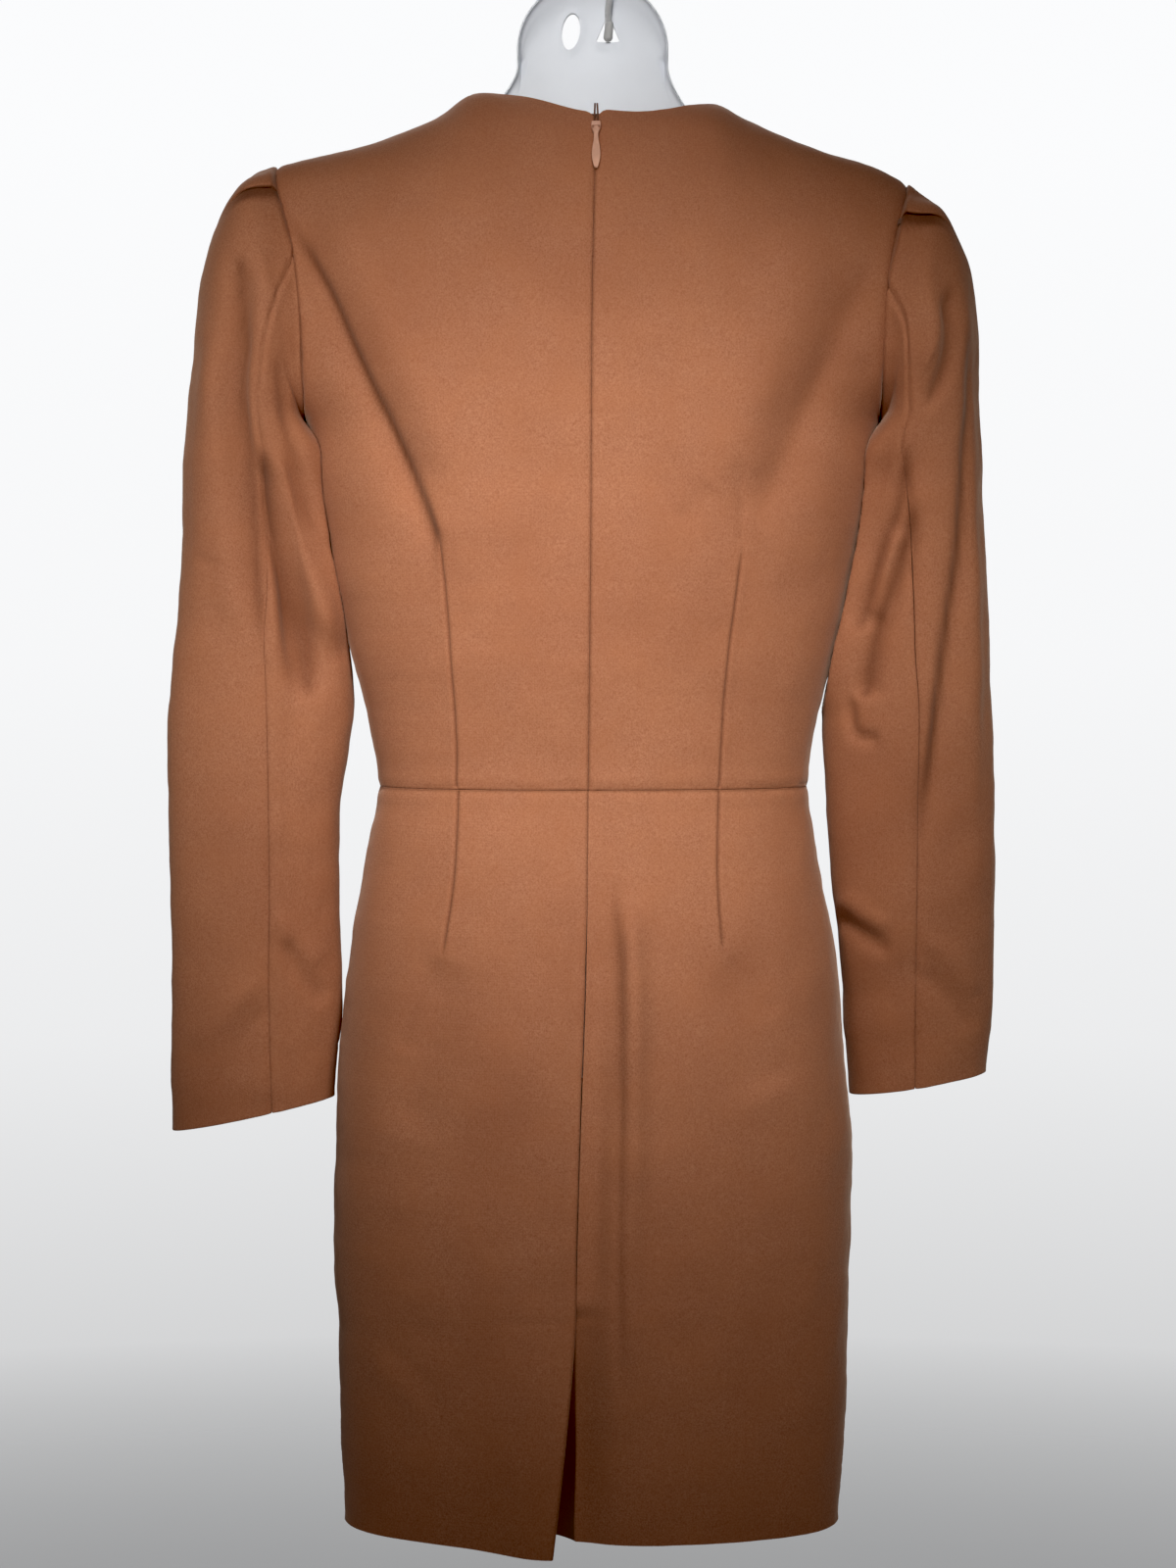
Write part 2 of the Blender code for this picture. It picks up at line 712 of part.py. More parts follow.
def build_zip_tape(tape, home):
    heights = spread(NECK_BACK + 0.001, WAIST - 0.004, 16) + [ZIP_END]
    sunk = CLOTH + TAPE_SINK
    rows = []
    for z in heights:
        lean = back_lean(z)
        y, z = back_middle(z) - sunk * math.cos(lean), z - sunk * math.sin(lean)
        middle = centre_back(z)
        rows.append([(middle + x, y, z) for x in (-TAPE_HALF, 0, TAPE_HALF)])
    surface("zip_tape", rows, tape, home, flip=False, thickness=TAPE)


def mesh_object(name, mesh, look, home, smooth=False):
    data = bpy.data.meshes.new(name)
    mesh.to_mesh(data)
    mesh.free()
    if smooth:
        data.shade_smooth()
        data.set_sharp_from_angle(angle=math.radians(35))
    data.materials.append(look)
    made = bpy.data.objects.new(name, data)
    home.objects.link(made)
    return made


def bar(name, start, end, radius, look, home, sides=16):
    """A plain round bar between two points."""
    start, end = Vector(start), Vector(end)
    mesh = bmesh.new()
    bmesh.ops.create_cone(
        mesh, cap_ends=True, segments=sides, radius1=radius, radius2=radius, depth=(end - start).length
    )
    turn = Vector((0, 0, 1)).rotation_difference(end - start).to_matrix().to_4x4()
    mesh.transform(Matrix.Translation((start + end) / 2) @ turn)
    return mesh_object(name, mesh, look, home, smooth=True)


def plate(name, outline, thickness, look, home):
    """A flat plate with the given outline in x and z. It rises from y = 0."""
    mesh = bmesh.new()
    base = mesh.faces.new([mesh.verts.new((x, 0, z)) for x, z in outline])
    grown = bmesh.ops.extrude_face_region(mesh, geom=[base])
    for item in grown["geom"]:
        if isinstance(item, bmesh.types.BMVert):
            item.co.y = thickness
    bmesh.ops.recalc_face_normals(mesh, faces=mesh.faces)
    return mesh_object(name, mesh, look, home)


def combine(target, tools, operation):
    """Joins the tools to the target, or cuts them from it, with Booleans."""
    for tool in tools:
        step = target.modifiers.new(operation.lower(), "BOOLEAN")
        step.operation = operation
        step.object = tool
        tool.hide_render = True
        tool.display_type = "WIRE"


def build_slider(enamel, home, tools):
    """The slider and its pull, in a frame that leans with the cloth: y out of it, z up it."""
    seat = bpy.data.objects.new("zip_seat", None)
    seat.location = (centre_back(SLIDER_Z), back_middle(SLIDER_Z) + SLIDER_LIFT, SLIDER_Z)
    seat.rotation_euler = (back_lean(SLIDER_Z), 0, 0)
    home.objects.link(seat)

    width, length, thickness = SLIDER
    corners = [(0.30 * width, -0.5 * length), (0.5 * width, 0.1 * length), (0.42 * width, 0.5 * length)]
    outline = corners + [(-x, z) for x, z in corners[::-1]]
    slider = plate("zip_slider", outline, thickness, enamel, home)
    ear_x = KNUCKLE_HALF + PIN_GAP
    joined = []
    for side, x in (("left", ear_x), ("right", -ear_x - EAR)):
        joined.append(bar("ear_" + side, (x, PIN_LIFT, 0), (x + EAR, PIN_LIFT, 0), EAR_ROUND, enamel, tools))
        stem = [(x, -EAR_ROUND), (x + EAR, -EAR_ROUND), (x + EAR, EAR_ROUND), (x, EAR_ROUND)]
        joined.append(plate("stem_" + side, stem, PIN_LIFT, enamel, tools))
    pin_x = ear_x + EAR / 2
    joined.append(bar("pin", (-pin_x, PIN_LIFT, 0), (pin_x, PIN_LIFT, 0), PIN, enamel, tools))
    combine(slider, joined, "UNION")
    for piece in (slider, *joined):
        piece.parent = seat

    hinge = bpy.data.objects.new("pull_hinge", None)
    hinge.location = (0, PIN_LIFT, 0)
    hinge.rotation_euler = (-PULL_REST, 0, 0)
    hinge.parent = seat
    home.objects.link(hinge)
    leaf = [(KNUCKLE_HALF, 0)]
    for i in range(LEAF_STEPS + 1):
        share = i / LEAF_STEPS
        swell = KNUCKLE_HALF + (PULL_HALF - KNUCKLE_HALF) * ease((share - LEAF_NECK) / (LEAF_WIDEST - LEAF_NECK))
        closing = math.cos(max(share - LEAF_WIDEST, 0) / (1 - LEAF_WIDEST) * math.radians(76))
        wide = swell if share < LEAF_WIDEST else PULL_HALF * closing**0.8
        leaf.append((wide, -LEAF_START - share * (PULL_LENGTH - LEAF_START)))
    outline = leaf + [(-x, z) for x, z in leaf[::-1]]
    pull = plate("zip_pull", outline, PULL, enamel, home)
    pull.data.transform(Matrix.Translation((0, -PULL / 2, 0)))
    ends = (-KNUCKLE_HALF, 0, 0), (KNUCKLE_HALF, 0, 0)
    knuckle = bar("knuckle", *ends, PIN + PIN_GAP + KNUCKLE_WALL, enamel, tools)
    bore = bar("bore", (-1.2 * PULL_HALF, 0, 0), (1.2 * PULL_HALF, 0, 0), PIN + PIN_GAP, enamel, tools)
    combine(pull, [knuckle], "UNION")
    combine(pull, [bore], "DIFFERENCE")
    for piece in (pull, knuckle, bore):
        piece.parent = hinge


# Form and hook


def form_rim(x_sign, share):
    """x and z of the form's rim: the neck tab's arch, its side, the neck's flare, then the shoulder."""
    arch, side, flare = RIM_PARTS
    if share <= arch:
        turn = share / arch * math.pi / 2
        return TAB_HALF * math.sin(turn), TAB_SIDE + (TAB_TOP - TAB_SIDE) * math.cos(turn)
    if share <= side:
        return TAB_HALF, TAB_SIDE + (TAB_FOOT - TAB_SIDE) * (share - arch) / (side - arch)
    neck_x = TAB_HALF + TAB_FLARE
    if share <= flare:
        out = (share - side) / (flare - side)
        foot = ridge(x_sign, neck_x) - CLOTH - FORM_SEAT
        return TAB_HALF + TAB_FLARE * out**1.6, TAB_FOOT + (foot - TAB_FOOT) * out
    x = neck_x + (FORM_SHOULDER - neck_x) * (share - flare) / (1 - flare)
    return x, ridge(x_sign, x) - CLOTH - FORM_SEAT


def form_point(x_sign, share, rise):
    """A point of the form's outer face. share runs from its middle to its edge, and rise from foot to rim."""
    x_rim, z_rim = form_rim(x_sign, share)
    z = FORM_FOOT + (z_rim - FORM_FOOT) * (1 - (1 - rise) ** 1.5)
    inside = CLOTH + FORM_CLEAR
    across = (1 - FORM_FAN) * x_rim / FORM_SHOULDER + FORM_FAN * share
    x = (half_width(min(z, UNDERARM)) - inside) * across
    x += (x_rim - x) * ease((z - UNDERARM) / (z_rim - UNDERARM))
    wide = max(half_width(z) - inside, x)
    deep = (1 - (x / wide) ** SECTION) ** (1 / SECTION)
    neck = ease((TAB_HALF + NECK_WIDE[0] - x) / NECK_WIDE[1]) * ease((z - NECK_LOW[0]) / NECK_LOW[1])
    tab = ease((TAB_HALF + TAB_WIDE[0] - x) / TAB_WIDE[1])
    full = (depth(z, False) - inside) * deep
    reach = CLOSING_HEIGHT + (TAB_CURL - CLOSING_HEIGHT) * tab * neck
    high = max(1 - (z_rim - z) / reach, 0.0)
    closing = max(1 - high**CLOSING, 0.0) ** (1 / CLOSING)
    return x, -(full + (TAB_DEPTH - full) * neck) * closing, z


def build_form(look, home, tools):
    half = spread(0.0, 1.0, FORM_COLUMNS, 1.3)
    both = [(-1, share) for share in half[:0:-1]] + [(1, share) for share in half]
    rows = []
    for i in range(FORM_ROWS + 1):
        row = []
        for x_sign, share in both:
            x, y, z = form_point(x_sign, share, i / FORM_ROWS)
            row.append((x_sign * x, y, z))
        rows.append(row)
    form = surface("torso_form", rows, look, home, flip=False, thickness=SHELL)

    x, z = HOOK_HOLE
    wide, high = HOOK_HOLE_SIZE
    triangle = [(x, z + high / 2), (x + wide / 2, z - high / 2), (x - wide / 2, z - high / 2)]
    hook_cut = plate("hook_hole", triangle, CUTTER_DEPTH, look, tools)
    oval = []
    for i in range(OVAL_STEPS):
        turn = i / OVAL_STEPS * 2 * math.pi
        oval.append((OVAL_SIZE[0] / 2 * math.cos(turn), OVAL_SIZE[1] / 2 * math.sin(turn)))
    oval_cut = plate("oval_hole", oval, CUTTER_DEPTH, look, tools)
    hook_cut.location.y = -CUTTER_DEPTH / 2
    oval_cut.location = (OVAL_HOLE[0], -CUTTER_DEPTH / 2, OVAL_HOLE[1])
    oval_cut.rotation_euler = (0, OVAL_TILT, 0)
    combine(form, [hook_cut, oval_cut], "DIFFERENCE")


def build_hook(steel, rubber, home):
    """The wire comes up behind the neck tab, leans out and bends over the rail."""
    hole_x, hole_z = HOOK_HOLE
    plug_wide, plug_deep, plug_high = PLUG
    plug_low = hole_z - HOOK_HOLE_SIZE[1] / 2 + PLUG_GAP
    plug_top = plug_low + plug_high
    points = [(hole_x + (SHANK_X - hole_x) * share, y, plug_top + up) for share, y, up in WIRE_FOOT]
    points += [(SHANK_X + aside, y, z) for aside, y, z in WIRE_SHANK]
    for i in range(HOOK_STEPS + 1):
        turn = math.radians(HOOK_TURN[0] + (HOOK_TURN[1] - HOOK_TURN[0]) * i / HOOK_STEPS)
        points.append((HOOK_BEND * math.cos(turn), 0, WIRE - HOOK_BEND + HOOK_BEND * math.sin(turn)))
    curve = bpy.data.curves.new("hook", "CURVE")
    curve.dimensions = "3D"
    spline = curve.splines.new("POLY")
    spline.points.add(len(points) - 1)
    for point, place in zip(spline.points, points):
        point.co = (*place, 1)
    curve.bevel_depth = WIRE
    curve.bevel_resolution = 2
    curve.use_fill_caps = True
    curve.materials.append(steel)
    hook = bpy.data.objects.new("hook", curve)
    home.objects.link(hook)

    wide = plug_wide / 2
    outline = [(-wide, 0), (wide, 0), (wide * 0.9, plug_high), (-wide * 0.9, plug_high)]
    plug = plate("hook_plug", outline, plug_deep, rubber, home)
    plug.location = (hole_x, PLUG_Y - plug_deep / 2, plug_low)


def main():
    clear_scene()
    dress = collection_named("sheath_dress_on_hanging_form")
    tools = collection_named("cutters_and_joins")
    wool = material("wool", 0.85)
    tape = material("tape", 0.8)
    enamel = material("enamel", 0.45)
    build_bodice(wool, dress)
    build_skirt(wool, dress)
    build_sleeve("left", 1, LEFT_SLEEVE, LEFT_PLEATS, LEFT_SLEEVE_FOLDS, wool, dress)
    build_sleeve("right", -1, RIGHT_SLEEVE, RIGHT_PLEATS, RIGHT_SLEEVE_FOLDS, wool, dress)
    build_zip_tape(tape, dress)
    build_slider(enamel, dress, tools)
    build_form(material("form", 0.4), dress, tools)
    build_hook(material("steel", 0.3, 1.0), material("plug", 0.6), dress)


main()
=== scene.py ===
"""The looks of a long-sleeved sheath dress on a hollow-backed hanging form.

Metres, +Z up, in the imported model's frame: the back of the dress faces +Y and its wearer's left is +X. The
tables and the surfaces are the CAD part's, apart from the sleeve heads: their outer line differs by a few
millimetres, and their pleats are folds whose cloth overlaps. The creases are added to them.
"""

import math

import bmesh
import bpy
import numpy as np
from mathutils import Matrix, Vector


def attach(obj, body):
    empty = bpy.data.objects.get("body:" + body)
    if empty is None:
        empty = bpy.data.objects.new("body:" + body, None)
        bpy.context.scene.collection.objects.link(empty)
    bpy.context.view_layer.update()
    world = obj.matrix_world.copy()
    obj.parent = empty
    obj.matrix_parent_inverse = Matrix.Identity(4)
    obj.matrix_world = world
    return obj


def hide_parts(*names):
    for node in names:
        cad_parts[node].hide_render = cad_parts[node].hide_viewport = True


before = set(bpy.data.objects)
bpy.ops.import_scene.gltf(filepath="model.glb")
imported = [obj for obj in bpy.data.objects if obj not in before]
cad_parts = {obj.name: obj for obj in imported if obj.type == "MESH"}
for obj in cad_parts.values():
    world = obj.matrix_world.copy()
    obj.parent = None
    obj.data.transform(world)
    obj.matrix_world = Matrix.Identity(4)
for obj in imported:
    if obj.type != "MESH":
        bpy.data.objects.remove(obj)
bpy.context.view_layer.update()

# ---------------------------------------------------------------- the part's own sizes

CLOTH = 0.0016  # thickness of the wool and its lining
EDGE = 0.00078  # distance of a panel's face from its seam, which its rounded edge reaches
NECK_FRONT = -0.215
NECK_NOTCH = 0.004
UNDERARM = -0.350
WAIST = -0.592
VENT_TOP = -0.935
HEM = -1.084
NECK_HALF = 0.082
SHOULDER_HALF = 0.2095
SECTION = 2.3  # roundness of the body's level sections: 2 is an ellipse, more is squarer
CLOSING = 2.2  # the same for the way the body closes over the shoulders
CLOSING_HEIGHT = 0.13  # how far below the shoulders that starts
NECK_ROUND = 2.0
LOW_SHARE = 0.66  # share of the bodice's rows below the shoulders' rounding
CROWDING = 1.35  # how much closer together the rows lie towards the top edge
FOLD_TAPER = 4
SLEEVE_OUT = 0.0002  # how far the sleeve's top lies outside the armhole

# z, half width, depth behind the side seams, depth before them
BODY_LEVELS = (
    (-1.084, 0.1660, 0.074, 0.098),
    (-0.950, 0.1705, 0.085, 0.104),
    (-0.840, 0.1720, 0.096, 0.108),
    (-0.750, 0.1665, 0.099, 0.108),
    (-0.680, 0.1575, 0.092, 0.104),
    (-0.635, 0.1495, 0.082, 0.099),
    (-0.592, 0.1420, 0.075, 0.096),
    (-0.555, 0.1475, 0.076, 0.101),
    (-0.500, 0.1610, 0.081, 0.116),
    (-0.430, 0.1770, 0.086, 0.130),
    (-0.390, 0.1848, 0.0865, 0.1255),
    (-0.350, 0.1900, 0.087, 0.120),
    (-0.320, 0.2120, 0.086, 0.112),
    (-0.280, 0.2280, 0.085, 0.104),
    (-0.220, 0.2360, 0.083, 0.097),
    (-0.130, 0.2400, 0.080, 0.090),
)
# distance from the middle, height of the left shoulder's ridge there, height of the right shoulder's
RIDGE = (
    (0.000, -0.1345, -0.1345),
    (0.050, -0.1350, -0.1390),
    (0.082, -0.1365, -0.1420),
    (0.100, -0.1480, -0.1530),
    (0.144, -0.1665, -0.1715),
    (0.198, -0.1800, -0.1880),
    (0.212, -0.1845, -0.1970),
)
# distance from the middle, height of the back neckline's left half there, height of its right half
BACK_NECK = (
    (0.000, -0.1545, -0.1525),
    (0.012, -0.1522, -0.1524),
    (0.022, -0.1492, -0.1528),
    (0.034, -0.1450, -0.1526),
    (0.048, -0.1405, -0.1505),
    (0.062, -0.1378, -0.1468),
    (0.082, -0.1365, -0.1420),
)
# z, distance of the centre back seam from the middle
CENTRE_BACK = (
    (-1.084, 0.0115),
    (-0.915, 0.0105),
    (-0.850, 0.0090),
    (-0.790, 0.0070),
    (-0.720, 0.0045),
    (-0.592, 0.0030),
    (-0.450, 0.0015),
    (-0.250, 0.0000),
    (-0.150, -0.0025),
)
# z, distance of the armhole seam from the middle
ARMHOLE = (
    (-0.350, 0.1900),
    (-0.320, 0.1895),
    (-0.285, 0.1900),
    (-0.250, 0.1940),
    (-0.215, 0.2030),
    (-0.196, 0.2085),
    (-0.183, 0.2100),
)
# start x, z; middle x, z; end x, z; half width; height
BACK_FOLDS = (
    (0.100, -0.425, 0.150, -0.312, 0.196, -0.214, 0.016, -0.0080),
    (0.080, -0.400, 0.128, -0.300, 0.172, -0.205, 0.020, 0.0050),
    (-0.103, -0.425, -0.138, -0.345, -0.180, -0.248, 0.020, -0.0060),
    (-0.080, -0.410, -0.112, -0.310, -0.150, -0.215, 0.022, 0.0045),
    (-0.026, -0.655, -0.026, -0.800, -0.024, -1.084, 0.013, 0.0080),
    (-0.010, -0.660, -0.012, -0.800, -0.010, -0.930, 0.010, -0.0040),
    (0.086, -0.700, 0.104, -0.760, 0.118, -0.820, 0.018, -0.0045),
    (-0.086, -0.700, -0.104, -0.750, -0.118, -0.790, 0.018, -0.0040),
)
# outer x, z; inner x, z; half depth; how far back the ring's middle lies
LEFT_SLEEVE = (
    (0.2100, -0.1835, 0.1900, -0.350, 0.056, 0.000),
    (0.2222, -0.1885, 0.1925, -0.352, 0.059, 0.002),
    (0.2335, -0.1985, 0.1912, -0.356, 0.061, 0.003),
    (0.2445, -0.2165, 0.1898, -0.364, 0.061, 0.003),
    (0.2548, -0.2420, 0.1880, -0.376, 0.059, 0.002),
    (0.2630, -0.2840, 0.1850, -0.396, 0.055, 0.000),
    (0.2670, -0.3230, 0.1815, -0.416, 0.050, -0.001),
    (0.2710, -0.3750, 0.1767, -0.440, 0.045, -0.001),
    (0.2735, -0.4300, 0.1698, -0.470, 0.040, 0.000),
    (0.2770, -0.4850, 0.1625, -0.503, 0.036, 0.001),
    (0.2820, -0.5450, 0.1598, -0.545, 0.034, 0.000),
    (0.2830, -0.6100, 0.1690, -0.605, 0.032, -0.004),
    (0.2830, -0.6850, 0.1700, -0.675, 0.030, -0.011),
    (0.2845, -0.7600, 0.1700, -0.745, 0.028, -0.019),
    (0.2840, -0.8260, 0.1745, -0.803, 0.027, -0.026),
)
RIGHT_SLEEVE = (
    (0.2085, -0.1960, 0.1900, -0.350, 0.056, 0.000),
    (0.2180, -0.2030, 0.1925, -0.352, 0.059, 0.002),
    (0.2285, -0.2110, 0.1912, -0.356, 0.061, 0.003),
    (0.2385, -0.2250, 0.1898, -0.364, 0.061, 0.003),
    (0.2482, -0.2475, 0.1880, -0.376, 0.059, 0.002),
    (0.2545, -0.2840, 0.1850, -0.396, 0.055, 0.000),
    (0.2565, -0.3230, 0.1815, -0.416, 0.050, -0.001),
    (0.2585, -0.3750, 0.1767, -0.440, 0.045, -0.001),
    (0.2610, -0.4300, 0.1698, -0.470, 0.040, 0.000),
    (0.2640, -0.4850, 0.1618, -0.503, 0.037, 0.001),
    (0.2660, -0.5450, 0.1528, -0.545, 0.035, -0.002),
    (0.2690, -0.6100, 0.1570, -0.610, 0.033, -0.010),
    (0.2710, -0.6800, 0.1640, -0.680, 0.031, -0.022),
    (0.2725, -0.7450, 0.1710, -0.745, 0.029, -0.038),
    (0.2695, -0.7890, 0.1775, -0.804, 0.028, -0.048),
)
FRONT_SEAM = (-118, -134)  # degrees round the sleeve of its front seam at the armhole, and further down
SEAM_TURN = 0.22  # share of the length where that turn ends
CAP_SHARE = 0.30  # share of the length that the armhole's shape reaches
# degrees round the armhole, height of the fold, how far down the sleeve it dies out
LEFT_PLEATS = ((-30, 0.0055, 0.15), (40, 0.0070, 0.26))
RIGHT_PLEATS = ((-32, 0.0055, 0.15), (47, 0.0070, 0.26))
PLEAT_BACK = 26
# degrees round, share of the length where it starts and ends, half width in degrees, height
LEFT_SLEEVE_FOLDS = (
    (74, 0.10, 0.62, 12, -0.0050),
    (118, 0.34, 0.78, 11, -0.0045),
    (50, 0.30, 0.70, 14, 0.0035),
    (-70, 0.25, 0.75, 13, -0.0045),
)
RIGHT_SLEEVE_FOLDS = (
    (62, 0.14, 0.34, 11, -0.0050),
    (46, 0.26, 0.86, 12, 0.0040),
    (128, 0.30, 0.56, 12, -0.0050),
    (-66, 0.25, 0.70, 13, -0.0045),
)
VENT_FLARE = 0.030  # how far the vent's left edge stands out at the hem
VENT_FLARE_REACH = 0.062
VENT_SHIFT = 0.014  # how far it swings aside there
VENT_SHIFT_REACH = 0.050
VENT_OPENING = 1.25
UNDERLAP = 0.040  # width of the layer that goes on under that edge from the right
UNDERLAP_TURN = 66  # degrees that it has turned inwards at the hem
UNDERLAP_SINK = 0.0042
UNDERLAP_SINK_RISE = (0.014, 0.012)
UNDERLAP_SINK_REACH = 0.014
RIGHT_CURL = 0.010
RIGHT_CURL_REACH = 0.030

# ---------------------------------------------------------------- what is added to them

# The darts of the back, from the waist seam to their points: x, z
LEFT_DART = ((0.0887, -0.592), (0.0887, -0.557), (0.0918, -0.507), (0.0956, -0.456), (0.0994, -0.426))
RIGHT_DART = ((-0.0818, -0.592), (-0.0855, -0.527), (-0.0906, -0.481), (-0.0969, -0.4325))
LEFT_SKIRT_DART = ((0.0874, -0.592), (0.0887, -0.638), (0.0925, -0.672), (0.0969, -0.7005))
RIGHT_SKIRT_DART = ((-0.0818, -0.592), (-0.0805, -0.638), (-0.0818, -0.672), (-0.0843, -0.697))
DART_GAP = 0.002  # how far from the waist seam the back darts' stitching starts


def mirrored(line):
    return tuple((-x, z) for x, z in line)


def dart_groove(dart, start=WAIST):
    """The groove along a dart's stitching, from this height to the dart's point."""
    return ("groove", 0.0009, -0.0010, ((dart[0][0], start), *dart[1:]))


# Creases, each a smooth line through its points: kind, half width, height, points as x, z
BACK_CREASES = (
    ("fold", 0.0120, 0.0044, ((0.0950, -0.462), (0.0985, -0.436), (0.1006, -0.4236), (0.1107, -0.3967),
                              (0.1258, -0.3596), (0.1409, -0.3294), (0.1540, -0.3011), (0.1660, -0.2726),
                              (0.1775, -0.2525), (0.1876, -0.2357), (0.1985, -0.2120))),
    ("trough", 0.0070, -0.0016, ((-0.1779, -0.246), (-0.1577, -0.302), (-0.1375, -0.343), (-0.1022, -0.422))),
    ("trough", 0.0090, -0.0012, ((-0.078, -0.3967), (-0.0655, -0.408), (-0.0535, -0.4206))),
    dart_groove(LEFT_DART, WAIST + DART_GAP),
    dart_groove(RIGHT_DART, WAIST + DART_GAP),
    ("trough", 0.0040, -0.0010, ((-0.0965, -0.440), (-0.0960, -0.410), (-0.0937, -0.3766))),
    dart_groove(LEFT_SKIRT_DART, WAIST - DART_GAP),
    dart_groove(RIGHT_SKIRT_DART, WAIST - DART_GAP),
    ("trough", 0.0080, -0.0014, ((0.0966, -0.695), (0.116, -0.738), (0.1223, -0.763))),
    ("trough", 0.0080, -0.0012, ((-0.084, -0.692), (-0.1066, -0.7256), (-0.116, -0.738))),
    ("trough", 0.0060, -0.0030, ((-0.0140, -0.640), (-0.0160, -0.707), (-0.0172, -0.747), (-0.0178, -0.807),
                                 (-0.0185, -0.866), (-0.0205, -0.987))),
    ("ridge", 0.0070, 0.0018, ((-0.0250, -0.650), (-0.0270, -0.720), (-0.0280, -0.790), (-0.0290, -0.860))),
    ("trough", 0.0060, -0.0009, ((0.0281, -0.637), (0.0530, -0.660), (0.0781, -0.6874))),
    ("ridge", 0.0070, 0.0008, ((0.0200, -0.655), (0.0480, -0.676), (0.0720, -0.712))),
    ("trough", 0.0070, -0.0007, ((0.0120, -0.668), (0.0300, -0.690), (0.0440, -0.722))),
    ("ridge", 0.0080, 0.0008, ((0.105, -1.010), (0.125, -0.985), (0.150, -0.968))),
    ("trough", 0.0060, -0.0008, ((0.095, -1.000), (0.118, -0.968), (0.140, -0.955))),
)

# ---------------------------------------------------------------- numbers and curves


def curve_through(at, table, column):
    """The smooth curve through one column of a table, against its first column."""
    places = np.array([row[0] for row in table])
    values = np.array([row[column] for row in table])
    slopes = np.gradient(values, places)
    at = np.asarray(at, float)
    i = np.clip(np.searchsorted(places, at) - 1, 0, len(places) - 2)
    step = places[i + 1] - places[i]
    t = np.clip((at - places[i]) / step, 0.0, 1.0)
    start = values[i] * (1 + 2 * t) + slopes[i] * step * t
    end = values[i + 1] * (3 - 2 * t) - slopes[i + 1] * step * (1 - t)
    return start * (1 - t) ** 2 + end * t * t


def ease(share):
    share = np.clip(share, 0.0, 1.0)
    return share * share * (3 - 2 * share)


def bump(distance, reach):
    return np.exp(-((distance / reach) ** 2))


def smooth_line(points, count=24):
    """Points along the smooth curve through the given ones."""
    points = np.array(points, float)
    at = np.linspace(0, len(points) - 1, count)
    table = [(i, *p) for i, p in enumerate(points)]
    return np.stack([curve_through(at, table, c + 1) for c in range(points.shape[1])], -1)


def off_seam(distance):
    """The distance from a seam, opened by EDGE at the seam itself and unchanged away from it."""
    return distance + EDGE * np.exp(-np.maximum(distance, 0.0) / (2 * EDGE))


def placed(name, data):
    """A new object of this mesh, light or camera, in the scene."""
    made = bpy.data.objects.new(name, data)
    bpy.context.scene.collection.objects.link(made)
    return made


def ripples(seed, x, z, wave, count=14):
    """A seeded sum of soft waves about wave metres long, between about -1 and 1."""
    rng = np.random.default_rng(seed)
    total = np.zeros(np.shape(x))
    for _ in range(count):
        turn, phase = rng.uniform(0, 2 * math.pi, 2)
        pull = 2 * math.pi / (wave * rng.uniform(0.7, 1.6))
        total += np.sin((x * math.cos(turn) + z * math.sin(turn)) * pull + phase)
    return total / math.sqrt(count)


def graded(length, cell, guides=()):
    """Places from 0 to 1 along a length, about cell apart, and closer near both ends and near the guides."""
    near = np.array((0.0, 0.0004, 0.0009, 0.0016, 0.0026, 0.0040))
    marks = [near, length - near]
    for guide in guides:
        marks += [guide * length + near, guide * length - near[1:]]
    plain = np.linspace(0, length, max(int(length / cell), 2) + 1)
    close = [0.0, length, *(guide * length for guide in guides)]
    kept = [p for p in plain if min(abs(p - c) for c in close) > near[-1] + 0.4 * cell]
    return np.unique(np.round(np.concatenate([*marks, kept]), 6)) / length


def unit(vectors):
    return vectors / np.maximum(np.linalg.norm(vectors, axis=-1, keepdims=True), 1e-12)


def beside_line(line, x, z):
    """How far each place lies from a line, how far along it from 0 to 1, and on which side of it."""
    nearest = np.full(np.shape(x), 1e9)
    along, side = np.zeros(np.shape(x)), np.zeros(np.shape(x))
    for i, (start, end) in enumerate(zip(line, line[1:])):
        step = end - start
        share = np.clip(((x - start[0]) * step[0] + (z - start[1]) * step[1]) / (step @ step), 0, 1)
        dx, dz = x - start[0] - share * step[0], z - start[1] - share * step[1]
        away = np.hypot(dx, dz)
        closer = away < nearest
        nearest = np.where(closer, away, nearest)
        along = np.where(closer, (i + share) / (len(line) - 1), along)
        side = np.where(closer, np.sign(step[0] * dz - step[1] * dx), side)
    return nearest, along, side


CREASE_REACH = {"fold": 0.060, "groove": 0.008}  # how far these are worked out; the rest go 3 half widths
# the darkest painted shade in a groove's hollow
GROOVE_PAINTED_SHADE = 0.55
GROOVE_PUFF = (0.30, 0.0030, 0.0018)  # the swelling beside a groove: its share, its distance, its half width
# the darkest painted shade under a fold and in a trough
FOLD_PAINTED_SHADE = 0.60
FOLD_BACK = 0.034  # half width of a fold's raised side
FOLD_LOW = 0.9  # depth of its low side, as a share of its height
FOLD_SHARP = (0.0034, 0.0045)  # half width of its step, and what its ends add to that
FOLD_SHADE = (0.0012, 0.0036)  # how far below the step its painted shade lies, and that shade's half width
# the depth where a trough's painted shade starts, its darkness for each metre past that, the painted shade's
# share of its width
TROUGH_PAINTED_SHADE = (0.0010, 160, 0.55)


